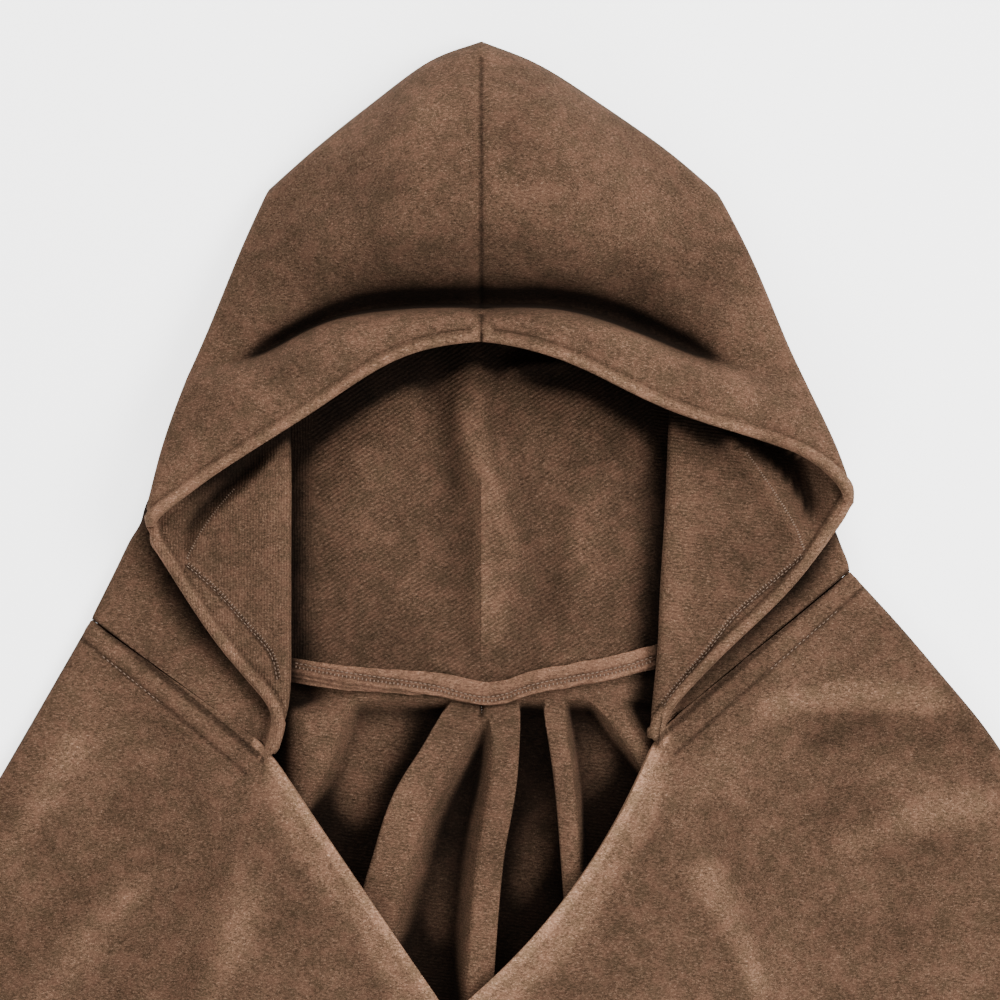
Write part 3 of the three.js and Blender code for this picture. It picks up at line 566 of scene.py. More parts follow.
def heather(finish, place, look):
    """The heathered yarn: dark, middle and light fibres with reddish and olive clouds in them."""
    rising, falling = (
        finish.grain(finish.turned(place, turn, length), size, 2.0, 0.6) for turn, length, size in FIBRES
    )
    fine = finish.grain(place, FINE, 1.0, 0.6)
    speck = (rising + falling) * 0.31 + fine * 0.38
    clouds = finish.grain(place, CLOUD, 3.0, 0.6)
    drift = finish.grain(place, DRIFT, 2.0, 0.5)
    body = finish.mixed(speck.between(0.34, 0.66), look["dark"], look["light"])
    reddish = finish.mixed(clouds.between(0.48, 0.66) * 0.3, body, look["red"])
    olive = finish.mixed((1 - clouds).between(0.5, 0.68) * 0.25, reddish, look["olive"])
    bright = (fine * rising).between(0.32, 0.44)
    flecked = finish.mixed(bright * 0.45, olive, look["fleck"])
    toned = finish.shaded(flecked, TONE["even"] + clouds * TONE["clouds"] + drift * TONE["drift"])
    return toned, speck


def ribbed(finish, place, wander, degrees, pitch):
    """Fine ribs of knit, each made of short stitches, from 0 in a groove to 1 on a rib."""
    turned = finish.turned(place, degrees, 1.0)
    across = finish.part(turned, "Y") + wander
    run = finish.part(turned, "X")
    rib = (across * (2 * math.pi / pitch)).sine() * 0.5 + 0.5
    shift = (across * (math.pi / pitch)).sine() * 2
    stitch = (run * (2 * math.pi / (0.8 * pitch)) + shift).sine() * 0.5 + 0.5
    return rib * (0.75 + stitch * 0.25)


def knit(name, look, ribs=()):
    """A knitted finish; ribs lists (angle, pitch, mask attribute or None, strength)."""
    finish = Finish(name)
    place = finish.millimetres()
    colour, speck = heather(finish, place, look)
    height = speck * 0.8 + finish.grain(place, LUMP, 1.0, 0.5) * 0.35
    wander = finish.grain(place, WANDER, 1.0) * 1.5
    for degrees, pitch, mask, strength in ribs:
        rib = ribbed(finish, place, wander, degrees, pitch)
        share = finish.attribute(mask) * strength if mask else strength
        height = height + rib * share
        # the grooves between the ribs are darkened with painted shade
        colour = finish.shaded(colour, 1 - (1 - rib) * share * look["groove"])
    # a painted highlight along the rolled edges
    edge_highlight = 1 - finish.attribute("edge").between(*EDGE_HIGHLIGHT)
    colour = finish.mixed(edge_highlight * look["highlight_share"], colour, finish.shaded(colour, look["edge_highlight"]))
    seam = 1 - finish.attribute("seam").between(*SEAM_LINE)
    # painted light on the crests, painted shade in the hollows and painted shadow above the brim
    level = 1 + finish.attribute("crest") * CREST_PAINTED_LIGHT - finish.attribute("hollow") * HOLLOW_PAINTED_SHADE
    colour = finish.shaded(colour, (1 - seam * SEAM_SHADE) * level * (1 - finish.attribute("shade")))
    relief = finish.node(
        "ShaderNodeBump",
        {},
        {"Strength": look["relief"], "Distance": NAP_HEIGHT * MM, "Height": height},
    )
    finish.set(Base_Color=colour, Roughness=0.93, Normal=relief)
    finish.set(Sheen_Weight=look["sheen"], Sheen_Roughness=0.45, Sheen_Tint=look["sheen_tint"])
    finish.set(Specular_IOR_Level=0.04)
    return finish.material


OUTER_LOOK = {
    "dark": (0.019, 0.0108, 0.0064),
    "light": (0.081, 0.0458, 0.0284),
    "red": (0.068, 0.033, 0.0215),
    "olive": (0.042, 0.029, 0.0158),
    "fleck": (0.152, 0.1, 0.069),
    # the painted highlight on rolled edges: how much lighter it is, and how fully it is laid on
    "edge_highlight": 1.65,
    "highlight_share": 0.8,
    # how much painted shade darkens the grooves between ribs
    "groove": 0.35,
    "relief": 0.6,
    "sheen": 0.015,
    "sheen_tint": (0.62, 0.42, 0.3, 1),
}
# the inner side has more painted shade in its rib grooves
INNER_LOOK = {**OUTER_LOOK, "relief": 0.65, "groove": 0.5}
BAND_LOOK = {**OUTER_LOOK, "dark": (0.036, 0.019, 0.012), "light": (0.125, 0.067, 0.042), "edge_highlight": 1.3}
THREAD = (0.16, 0.1, 0.066)
THREAD_SHADE = 0.6  # how light the thread is between its plies
TWIST = 0.8  # length of a ply
HOLLOW_PAINTED_SHADE = 0.9  # how much darker a full hollow is made with painted shade
CREST_PAINTED_LIGHT = 0.75  # how much lighter a full crest is made with painted light
SEAM_SHADE = 0.5  # how much darker the cloth of a seam is
SEAM_LINE = (0.3, 2.5)  # distances from a seam at which its dark line begins and ends to fade
EDGE_HIGHLIGHT = (BEAD - 2.5, BEAD + 0.8)  # and from an edge, for the painted highlight on its roll
NAP_HEIGHT = 0.9  # of the brushed surface


def thread():
    """The sewing thread, a little lighter than the cloth."""
    if "sewing_thread" in bpy.data.materials:
        return bpy.data.materials["sewing_thread"]
    finish = Finish("sewing_thread")
    twist = finish.grain(finish.millimetres(), TWIST, 1.0)
    shadow = tuple(part * THREAD_SHADE for part in THREAD)
    finish.set(Base_Color=finish.mixed(twist, shadow, THREAD), Roughness=0.7)
    return finish.material


def outer_knit():
    return bpy.data.materials.get("knit_outside") or knit("knit_outside", OUTER_LOOK)


def inner_knit():
    ribs = [(-33, 2.4, "slant", 0.6), (90, 1.7, "upright", 0.5), (8, 2.0, "level", 0.4)]
    return bpy.data.materials.get("knit_inside") or knit("knit_inside", INNER_LOOK, ribs)


# --- Creases, pressed into the shells ---

# Each crease is its line, its rise, the width of its left and of its right flank where they differ, and the
# shares of its length over which it rises and dies out where they aren't the usual ones
BRIM_FOLD = [(-150, 190), (-104, 216), (-60, 231), (0, 234), (60, 231), (104, 214), (152, 188)]
HOOD_CREASES = {
    "crown": [
        ([(0, 232), (-2, 300), (0, 380)], -1.4, 6, 6, (0.02, 0.02)),
        ([(9, 262), (8, 320), (6, 378)], 0.7, 3),
        (BRIM_FOLD, -11, 9, 9, (0.12, 0.12)),
        ([(-130, 212), (-90, 238), (-45, 250), (0, 254), (48, 250), (96, 236), (134, 208)], -9, 24),
        ([(-30, 262), (-62, 278), (-104, 262)], 1.8, 14),
        ([(22, 256), (66, 272), (112, 262)], 2.2, 16),
        ([(80, 262), (90, 244), (98, 226)], -1.8, 11),
        ([(-44, 318), (-82, 300), (-118, 286)], -1.6, 12),
        ([(30, 330), (70, 318), (108, 296)], -1.6, 12),
        ([(-96, 248), (-124, 240), (-150, 244)], -2.0, 10),
        ([(120, 244), (146, 238), (168, 236)], -1.8, 10),
    ],
    "inside": [
        ([(10, 191), (30, 195), (58, 197)], 4.5, 3.4),
        ([(8, 201), (28, 205), (46, 206)], -5, 5),
        ([(-34, 192), (-25, 150), (-13, 108)], -4.5, 6),
        ([(-19, 196), (-9, 150), (6, 112), (26, 64)], 5, 7),
        ([(8, 192), (17, 150), (29, 108), (40, 64)], -4.5, 7),
        ([(38, 124), (40, 80), (37, 30)], -3.4, 8),
        ([(-36, 24), (-20, 14), (-6, 16)], 3.6, 6),
        ([(30, 22), (46, 18), (62, 24)], 3.6, 6),
        ([(-86, 150), (-58, 128), (-34, 118)], 1.8, 12),
    ],
    "lapel": [
        ([(-176, 76), (-166, 96), (-142, 120), (-113, 152)], 5, 2.6, 7, (0.1, 0.2)),
        ([(-184, 78), (-173, 100), (-150, 124), (-126, 148)], -5, 4),
        ([(192, 86), (184, 104), (163, 134), (141, 162)], 7.5, 7, 3, (0.1, 0.2)),
        ([(203, 90), (193, 118), (174, 144), (156, 158)], -13, 5, 11),
    ],
}
FRONT_CREASES = {
    "any": [
        ([(-168, -84), (-236, -150), (-330, -262)], 5.04, 20),
        ([(-120, -96), (-170, -190), (-236, -330)], 4.48, 15),
        ([(-232, -12), (-268, -70), (-300, -120)], 4.2, 15),
        ([(-205, -40), (-236, -96), (-285, -160)], -4.76, 13),
        ([(-138, -70), (-186, -128), (-262, -236)], -3.64, 12),
        ([(190, -100), (250, -84), (330, -60)], 6, 18),
        ([(124, -96), (150, -140), (176, -200)], 5, 11),
        ([(150, -16), (215, -4), (300, -8)], 7, 14),
        ([(176, -36), (239, -29), (300, -34)], -7, 13),
        ([(120, -66), (164, -100), (222, -164)], -4.76, 13),
        ([(20, -160), (60, -210), (96, -300)], -2.6, 15),
        ([(-60, -300), (-96, -470), (-110, -700)], 5, 30),
        ([(-330, -300), (-400, -470), (-430, -700)], 5, 34),
        ([(96, -330), (120, -500), (150, -760)], 5, 30),
        ([(300, -300), (360, -440), (380, -700)], 6, 34),
    ],
}
# Folds of the gathers below the neck: the line of each crest, half the width of its top, how far its
# left and right flanks take to fall, its height, and how far its edge leans over the slot beside it, to the
# right above 0 and to the left below
GATHERS = [
    {"path": [(-92, 6), (-108, -40), (-140, -110), (-180, -230)],
     "top": 14, "left": 34, "right": 12, "rise": 17, "lip": 0},
    {"path": [(-2, 4), (-21, -33), (-41, -66), (-53, -102), (-62, -138), (-74, -230)],
     "top": 7, "left": 4.5, "right": 19, "rise": 25, "lip": -6},
    {"path": [(15, 4), (12, -54), (4, -102), (-1, -160), (-5, -230)],
     "top": 5.5, "left": 12, "right": 4.5, "rise": 25, "lip": 4},
    {"path": [(42, 4), (51, -54), (56, -114), (64, -230)],
     "top": 3.5, "left": 4.5, "right": 6, "rise": 24, "lip": -4},
    {"path": [(66, 4), (84, -22), (100, -46), (132, -110), (172, -230)],
     "top": 3, "left": 8, "right": 14, "rise": 19, "lip": 0},
]
# The slots between them: where they start and are full, where they fade and end, and how far out they reach
SLOTS = {"starts": -5, "full": -15, "fades": -205, "ends": -235, "half_width": 104, "side_end": 132}
SLOT_FLOOR = 1.0
SLOT_START = 3  # half the height of the row of points from which the gathers rise
GATHERED = (-34, -4)  # y between which the folds grow from the neck seam to their height
GATHER_TOP = 27.4  # no fold is higher
MERGE = 5  # the higher, the sharper the valley between two folds
CROWNED = 0.06  # share by which a fold is lower at the edges of its top than in its middle
LIP = {"from": 0.1, "flat": 6, "ends": 12, "sharp": 1.5}  # the leaning edge, measured from the fold's top

# Painted shadow on the crown above the brim's fold: how far up and down it fades,
# how dark it is, over what share of the fold it ends, and the width of the fold's own hollow, which has
# painted shade already and is spared
BRIM_SHADOW = {"up": 50, "down": 3, "dark": 0.55, "ends": 0.25, "hollow": 12, "spared": 0.8}

# How the hood is finished
FACE_EDGE = {"lowest": -60, "height": 27, "centre": 6, "peak": 217, "peak_height": 50}
ROW_ENDS = (0.01, 0.99)  # share of a row of stitches between which it is sewn
FOOT = (3, 16)  # distances from the foot of a lapel over which its seams and its roll begin
CORNER = {"reach": 6, "flatter": 0.7}  # the roll round the free corners of the face opening
PEAK = {"drop": 3.6, "width": 16, "edge": (6, 20), "lowest": 150}  # where the two halves of the brim meet
OVERLOCK = {"height": 1.3, "off_row": 2.4, "width": 1.3}  # swelling of the loops beside the lapel's row
RIBS = {"side": (101, 105), "top": (165, 200)}  # where the lapels' own ribs take over from the slanting ones

# How the fronts are finished
V_EDGE_HEIGHT = 20
NECK_END = 0.985  # share of the neck seam at which it ends
PUFF = {"height": 0.8, "width": 4.5}  # swelling between the neck seam and its row of stitches
# How far the fronts are drawn over their neck seam, and more so at its outer end, where it starts
CLOSING = {"reach": 1.6, "side_reach": 1.4, "by": 0.45, "side_by": 0.8, "side": 0.1}
V_FADE = 12  # length over which the centre seam begins below the V

# How the backs and the band are finished
NOTCH = {"ends": -24, "starts": -2, "fades": (-26, -16)}  # the open top of the centre back seam, in y
BAND_RIM = 0.6  # how far the corners of the band's rim are rounded
SAG = {"at": 5, "width": 22}  # where and over what width the neck band sags
SWAY = {"by": 0.8, "span": 11, "seed": 4}  # its small turns up and down

# Dips of the cloth along its seams and rows of stitches: depth and width
DIPS = {
    "crown seam": (0.9, 1.6),
    "hood neck": (0.7, 1.5),
    "lapel hem": (0.9, 1.4),
    "front neck": (0.6, 1.5),
    "topstitch": (0.9, 1.3),
    "V hem": (0.35, 1.6),
    "body hem": (0.6, 1.6),
    "back seam": (1.4, 1.6),
    "band row": (0.55, 0.8),
}
# How much bolder or fainter than a plain seam its line is drawn, as a distance taken off or added
BOLDNESS = {"neck": -0.5, "bead": 1.4, "topstitch": 0.2, "body hem": 0.6, "band row": 0.5, "band edge": 1.2}
ROLL = {"face": 2.5, "V": 0.35}  # height of the rolled edges
# Waves of the cloth: their height as a share of the wave height, their span and their seed
WAVES = {
    "hood": [(1, 34, 3), (0.3, 9, 8)],
    "front": [(1, 46, 5), (0.3, 12, 11)],
    "back": [(0.35, 11, 17)],
    "neck": [(1, 14, 21), (5 / 9, 4, 23)],
}
# For each piece a place above its visible side, to be mirrored on the left, that side, and its subdivision
CUTS = {
    "hood": ((40, 300, 140), OUTER, 2),
    "front": ((250, -250, 90), OUTER, 3),
    "back": ((250, -300, 4), INNER, 2),
    "neck": ((0, 4, 60), OUTER, 3),
}
# Boxes whose cloth is made finer: ranges of distance from the centre seam, of y and of height
BRIM_BOX = ((-1, 700), (150, 300), (24, 100))
LAPEL_BOX = ((100, 700), (-900, 150), (17, 100))
GATHER_BOX = ((-1, 130), (-230, 900), (-1, 100))
SLOT_BOX = ((-1, 100), (-190, 900), (-1, 100))

# Hollows, which the finish darkens with painted shade: the step of the heights they are found from, their
# reach in steps, and the depths at which one begins and is full; and the height at which a crest, which it
# lightens with painted light, is full
HOLLOW_STEP = 2.5
HOLLOW_REACH = 6
HOLLOW_DEPTHS = (1.5, 10)
CREST_HIGH = 3.5
HIGH_CLOTH = (18, 28)  # heights between which low cloth becomes high cloth
# Share of a crest's painted light that low and high cloth take
CREST_SHARES = {"front": (1, 1), "hood": (0.55, 0.2), "back": (0.2, 0.2), "neck": (0, 0)}


# --- Pieces ---


def cloth_piece(node):
    """The shell of one node, labelled and subdivided, as an object."""
    part, _, side = node.partition("_")
    (x, y, z), label, levels = CUTS[part]
    bm = merged_wall(node)
    label_sides(bm, (SIGNS.get(side, 1) * x, y, z), label)
    bmesh.ops.join_triangles(
        bm,
        faces=bm.faces,
        angle_face_threshold=FLATTEST_JOIN,
        angle_shape_threshold=SQUAREST_JOIN,
        cmp_materials=True,
    )
    name = "neck_band_cloth" if part == "neck" else f"{part}_cloth_{side}"
    return rounded_shell(name, bm, levels)


def reworked(piece, width, boxes=(), **closed):
    """The surface of the piece, with its cloth made finer in the boxes and the corners of its rim rounded."""
    bm = bmesh.new()
    bm.from_mesh(piece.data)
    for box in boxes:
        refine(bm, box)
    soften_rim(bm, width, **closed)
    bm.to_mesh(piece.data)
    bm.free()
    return Surface(piece)


def waved(cloth, part, settings):
    """Gives the cloth its small uneven waves."""
    for share, span, seed in WAVES[part]:
        cloth.ruffle(share * settings.wave_height / MM, span, seed)


def bead(edge, height):
    """Swelling of a rolled edge, with a groove where the roll ends."""
    roll = height * np.sqrt(np.clip(1 - ((edge - BEAD / 2) / (BEAD / 2)) ** 2, 0, 1))
    return roll - BEAD_GROOVE["share"] * height * bump(edge - BEAD_GROOVE["at"], BEAD_GROOVE["width"])


def sewn(distance, seam):
    """Dip of the cloth along a seam or a row of stitches."""
    depth, width = DIPS[seam]
    return -depth * bump(distance, width)


def is_face_edge(p):
    """Which points of the hood's rim are on the edge of the face opening."""
    off_centre = np.abs(p[:, 0]) > FACE_EDGE["centre"]
    peak = (p[:, 1] < FACE_EDGE["peak"]) & (p[:, 2] > FACE_EDGE["peak_height"])
    return (p[:, 1] > FACE_EDGE["lowest"]) & (p[:, 2] > FACE_EDGE["height"]) & (off_centre | peak)


def painted_brim_shadow(cloth, crown):
    """How dark the painted shadow on the crown is above the brim."""
    above, share = along_line(cloth.points, BRIM_FOLD)
    brim_shadow = bump(above, np.where(above > 0, BRIM_SHADOW["up"], BRIM_SHADOW["down"]))
    ends = ease(0, BRIM_SHADOW["ends"], share) * (1 - ease(1 - BRIM_SHADOW["ends"], 1, share))
    brim_shadow *= (1 - BRIM_SHADOW["spared"] * bump(above, BRIM_SHADOW["hollow"])) * ends
    return BRIM_SHADOW["dark"] * brim_shadow * crown


def make_hood(side, settings):
    piece = cloth_piece(f"hood_{side}")
    cloth = reworked(piece, settings.rim_round / MM, (BRIM_BOX, LAPEL_BOX), closed=lambda y: True)
    layers = cloth.layers()
    edge = edge_distance(piece, cloth.points, is_face_edge)
    foot = np.hypot(cloth.x - LAPEL_FEET[side][0], cloth.y - LAPEL_FEET[side][1])
    neck = np.abs(along_line(cloth.points, NECK_SEAM[side])[0])
    centre = np.abs(cloth.x) + FAR * (1 - layers["crown"])
    off_row, share = along_line(cloth.points, LAPEL_ROWS[side])
    sewn_here = layers["lapel"] * (share > ROW_ENDS[0]) * (share < ROW_ENDS[1]) > 0.5
    hem_row = np.where(sewn_here, np.abs(off_row), FAR)

    cloth.press(HOOD_CREASES, settings.crease_depth)
    waved(cloth, "hood", settings)
    cloth.lift(sewn(centre, "crown seam"))
    loops = OVERLOCK["height"] * bump(off_row * -SIGNS[side] - OVERLOCK["off_row"], OVERLOCK["width"])
    loops *= hem_row < FAR
    swelling = bead(edge, ROLL["face"]) + sewn(neck, "hood neck") + sewn(hem_row, "lapel hem") + loops
    corner, inwards, amount = FACE_CORNERS[side]
    at_corner = bump(np.hypot(cloth.x - corner[0], cloth.y - corner[1]), CORNER["reach"])
    cloth.swell(swelling * ease(*FOOT, foot) * (1 - CORNER["flatter"] * at_corner))
    cloth.blunt(corner, inwards, amount)
    at_peak = np.exp(-np.abs(cloth.x) / PEAK["width"]) * (1 - ease(*PEAK["edge"], edge)) * layers["top"]
    cloth.points[:, 1] -= PEAK["drop"] * at_peak * (cloth.y > PEAK["lowest"])
    cloth.rest()

    lapel = ease(*RIBS["side"], np.abs(cloth.x)) * (1 - ease(*RIBS["top"], cloth.y))
    roll_end = np.abs(edge - BEAD_GROOVE["at"]) + BOLDNESS["bead"]
    cloth.store(
        shade=painted_brim_shadow(cloth, layers["crown"]),
        edge=np.minimum(edge, FAR),
        seam=np.minimum.reduce([centre, neck + BOLDNESS["neck"], hem_row, roll_end]),
        slant=1 - lapel,
        upright=lapel * (side == "left"),
        level=lapel * (side == "right"),
    )
    cloth.write()
    finish_piece(piece, f"hood_{side}")
    return piece


def make_front(side, settings):
    def is_v_edge(p):
        return (np.abs(p[:, 0]) < V_REACH[side]) & (p[:, 1] > V_BOTTOM_Y) & (p[:, 2] > V_EDGE_HEIGHT)

    piece = cloth_piece(f"front_{side}")
    cloth = reworked(piece, settings.rim_round / MM)
    edge = edge_distance(piece, cloth.points, is_v_edge)
    bottom = edge_distance(piece, cloth.points, lambda p: p[:, 1] < BODY_HEM_Y)
    neck, share = along_line(cloth.points, NECK_SEAM[side])
    beyond = FAR * (share > NECK_END)
    neck = np.abs(neck) + beyond
    stitched = np.abs(neck - NECK_TOPSTITCH) + beyond
    centre = np.abs(cloth.x) + FAR * ease(V_BOTTOM_Y, V_BOTTOM_Y + V_FADE, cloth.y)

    cloth.press(FRONT_CREASES, settings.crease_depth)
    waved(cloth, "front", settings)
    along = np.array(NECK_SEAM[side][1]) - NECK_SEAM[side][0]
    towards = np.array([-along[1], along[0]]) * -SIGNS[side] / np.linalg.norm(along)
    at_side = 1 - ease(0, CLOSING["side"], share)
    closing = neck < CLOSING["reach"] + CLOSING["side_reach"] * at_side
    moved = closing * (CLOSING["by"] + CLOSING["side_by"] * at_side)
    cloth.points[:, :2] += moved[:, None] * towards
    puff = PUFF["height"] * bump(neck - NECK_TOPSTITCH / 2, PUFF["width"])
    hems = sewn(np.abs(edge - V_HEM), "V hem") + sewn(np.abs(bottom - BODY_HEM), "body hem")
    seams = sewn(neck, "front neck") + sewn(stitched, "topstitch")
    cloth.swell(bead(edge, ROLL["V"]) + seams + puff + hems)
    cloth.rest()

    neck_line, stitch_line = neck + BOLDNESS["neck"], stitched + BOLDNESS["topstitch"]
    hem_line = np.abs(bottom - BODY_HEM) + BOLDNESS["body hem"]
    cloth.store(
        edge=np.minimum(edge, FAR),
        seam=np.minimum.reduce([neck_line, stitch_line, hem_line, centre]),
        slant=1.0,
        upright=0.0,
        level=0.0,
    )
    cloth.write()
    finish_piece(piece, f"front_{side}")
    return piece


def gather(cloth, strength):
    """Turns the soft folds below the neck into narrow, deep ones with steep flanks."""
    y, top = cloth.y, cloth.topmost()
    heights = np.zeros(len(y))
    for fold in GATHERS:
        off, _ = along_line(cloth.points, fold["path"])
        away = np.clip(np.abs(off) - fold["top"], 0, None)
        flank = np.where(off > 0, fold["right"], fold["left"])  # the lines run down, so their left is +x
        rounded = 1 - CROWNED * np.clip(np.abs(off) / fold["top"], 0, 1) ** 2
        heights += (fold["rise"] * rounded * (1 - ease(0, 1, away / flank))) ** MERGE
    floor = WALL + SLOT_FLOOR
    heights = floor + heights ** (1 / MERGE)
    start = top[np.abs(y - SLOTS["starts"]) < SLOT_START].max()
    heights = np.minimum(heights, lerp(GATHER_TOP, start, ease(*GATHERED, y)))
    share = (
        (1 - ease(SLOTS["full"], SLOTS["starts"], y))
        * ease(SLOTS["ends"], SLOTS["fades"], y)
        * (1 - ease(SLOTS["half_width"], SLOTS["side_end"], np.abs(cloth.x)))
    )
    cloth.lift(strength * share * (heights - top))
    for fold in GATHERS:
        out = along_line(cloth.points, fold["path"])[0] * np.sign(fold["lip"])
        raised = np.clip((heights - floor) / fold["rise"], 0, 1) ** LIP["sharp"]
        near = ease(LIP["from"] * fold["top"], fold["top"], out)
        near *= 1 - ease(fold["top"] + LIP["flat"], fold["top"] + LIP["ends"], out)
        cloth.points[:, 0] += fold["lip"] * near * raised * share


def make_back(side, settings):
    piece = cloth_piece(f"back_{side}")
    sewn_up = {"closed": lambda y: not NOTCH["ends"] < y < NOTCH["starts"]}
    cloth = reworked(piece, settings.rim_round / MM, (GATHER_BOX, SLOT_BOX), **sewn_up)
    gather(cloth, settings.crease_depth)
    notch = np.abs(cloth.x) + FAR * (1 - ease(*NOTCH["fades"], cloth.y))
    cloth.lift(sewn(notch, "back seam"))
    waved(cloth, "back", settings)
    cloth.rest()
    cloth.store(edge=FAR, seam=notch, slant=0.0, upright=0.0, level=0.8)
    cloth.write()
    finish_piece(piece, f"back_{side}")
    return piece


def sagged(x):
    """How far the neck band has sagged at x."""
    return BAND_FALL * bump(x - SAG["at"], SAG["width"])


def make_neck_band(settings):
    piece = cloth_piece("neck_band")
    cloth = reworked(piece, BAND_RIM)
    edge = edge_distance(piece, cloth.points, lambda p: p[:, 2] > 0)
    lower = np.abs(along_line(cloth.points, BAND_LOWER_EDGE)[0])
    rows = np.minimum.reduce([np.abs(lower - at) for at in BAND_ROWS])
    cloth.swell(sewn(rows, "band row"))
    turns = [noise.noise(Vector((x / SWAY["span"], SWAY["seed"], 0))) for x in cloth.x]
    cloth.points[:, 1] += SWAY["by"] * np.array(turns) - sagged(cloth.x)
    waved(cloth, "neck", settings)
    cloth.store(edge=edge + BOLDNESS["band edge"], seam=rows + BOLDNESS["band row"])
    cloth.write()
    band = bpy.data.materials.get("knit_band") or knit("knit_band", BAND_LOOK)
    finish_piece(piece, "neck_band", [band, band, band])
    return piece


# Rows of stitches: the piece they are sewn on and their line, with the length and spacing of a stitch
LAPEL_ROWS = {
    "left": [(-178, 76), (-160, 60), (-143, 41), (-127, 22), (-122, 4)],
    "right": [(194, 81), (173, 63), (152, 44), (134, 21), (116, 0), (108, -12)],
}
LAPEL_TURNS = {
    "left": [(-177, 78), (-168, 95), (-156, 112), (-147, 122)],
    "right": [(194, 83), (186, 102), (168, 130), (158, 144)],
}
BAND_LOWER_EDGE = [(-122, 13), (-90, 7), (-49, 1), (-12, BAND_LOWER), (23, -1), (60, 4), (88, 10), (112, 18)]
BAND_ROWS = (2.2, 4.6)  # height of the two rows above the band's lower edge
STITCH = (2.3, 0.7, 0.6)  # length, width and height of a straight stitch
LOOP = (0.8, 2.0, 0.6)  # of an overlocking one, which lies across its row
LOOPS_OFF = 1.7  # from a lapel's row of stitches to its row of loops
SPACING = {"neck": 3.2, "lapel": 3.0, "lapel loops": 2.1, "turn": 1.6, "band": 2.8, "band loops": 2.4}
STITCH_SWAY = (0.25, 0.7)  # how far a stitch lies off its row, and how fast that changes along it
STITCH_RISE = 0.08  # from the cloth to the middle of a stitch


def shifted(line, distance):
    """The line moved sideways, to its left when distance is above 0."""
    points = smooth_line(line)
    run = np.gradient(points, axis=0)
    run /= np.linalg.norm(run, axis=1)[:, None]
    return points + distance * np.column_stack([-run[:, 1], run[:, 0]])


def stitch_row(bm, tree, line, spacing, size):
    """Sews short rounded stitches along the line onto the cloth below it."""
    length = np.concatenate([[0], np.cumsum(np.linalg.norm(np.diff(line, axis=0), axis=1))])
    for k, run in enumerate(np.arange(spacing, length[-1] - spacing, spacing)):
        x, y = (np.interp(run, length, line[:, axis]) for axis in (0, 1))
        ahead = np.array([np.interp(run + 1, length, line[:, axis]) for axis in (0, 1)]) - (x, y)
        sway = STITCH_SWAY[0] * noise.noise(Vector((k * STITCH_SWAY[1], x, y)))
        above = to_frame(x - ahead[1] * sway, y + ahead[0] * sway, SKY)
        place, normal, _, _ = tree.ray_cast(above, DOWN)
        if not place:
            raise RuntimeError(f"no cloth below the stitches at {x:.0f}, {y:.0f}")
        forward = Vector((*ahead, 0))
        forward = (forward - normal * forward.dot(normal)).normalized()
        turn = Matrix((forward, normal.cross(forward), normal)).transposed().to_4x4()
        scale = Matrix.Diagonal((*(part * MM / 2 for part in size), 1))
        matrix = Matrix.Translation(place + normal * STITCH_RISE * MM) @ turn @ scale
        bmesh.ops.create_uvsphere(bm, u_segments=6, v_segments=4, radius=1, matrix=matrix)


def make_stitching(name, on, rows):
    """One object of stitches on one piece; rows lists (line, spacing, size)."""
    cloth = bpy.data.objects[on].data
    tree = BVHTree.FromPolygons([v.co for v in cloth.vertices], [face.vertices for face in cloth.polygons])
    bm = bmesh.new()
    for line, spacing, size in rows:
        stitch_row(bm, tree, line, spacing, size)
    mesh = bpy.data.meshes.new(name)
    bm.to_mesh(mesh)
    bm.free()
    stitches = bpy.data.objects.new(name, mesh)
    bpy.context.scene.collection.objects.link(stitches)
    mesh.materials.append(thread())
    mesh.shade_smooth()
    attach(stitches, "root")
    return stitches


def sew_side(side):
    """The row below the neck seam, and the row, the loops and the turned edge of the lapel."""
    sign = SIGNS[side]
    below = shifted(NECK_SEAM[side], sign * NECK_TOPSTITCH)[1:-4]
    make_stitching(f"neck_stitches_{side}", f"front_cloth_{side}", [(below, SPACING["neck"], STITCH)])
    rows = [
        (smooth_line(LAPEL_ROWS[side]), SPACING["lapel"], STITCH),
        (shifted(LAPEL_ROWS[side], -sign * LOOPS_OFF), SPACING["lapel loops"], LOOP),
        (smooth_line(LAPEL_TURNS[side]), SPACING["turn"], LOOP),
    ]
    make_stitching(f"lapel_stitches_{side}", f"hood_cloth_{side}", rows)


def sew_band():
    """The two rows on the neck band, which have sagged with it."""
    fallen = smooth_line(BAND_LOWER_EDGE)[2:-2]
    fallen[:, 1] -= sagged(fallen[:, 0])
    lower, upper = (fallen + (0, at) for at in BAND_ROWS)
    rows = [(lower, SPACING["band loops"], LOOP), (upper, SPACING["band"], STITCH)]
    make_stitching("band_stitches", "neck_band_cloth", rows)


def blurred(grid):
    """The grid with each place replaced by the mean around it."""
    reach = range(-HOLLOW_REACH, HOLLOW_REACH + 1)
    for axis in (0, 0, 1, 1):
        grid = sum(np.roll(grid, k, axis) for k in reach) / len(reach)
    return grid


def sampled(grid, i, j, u, v):
    """The grid's values between the places i, j and their neighbours."""
    return lerp(lerp(grid[i, j], grid[i + 1, j], u), lerp(grid[i, j + 1], grid[i + 1, j + 1], u), v)


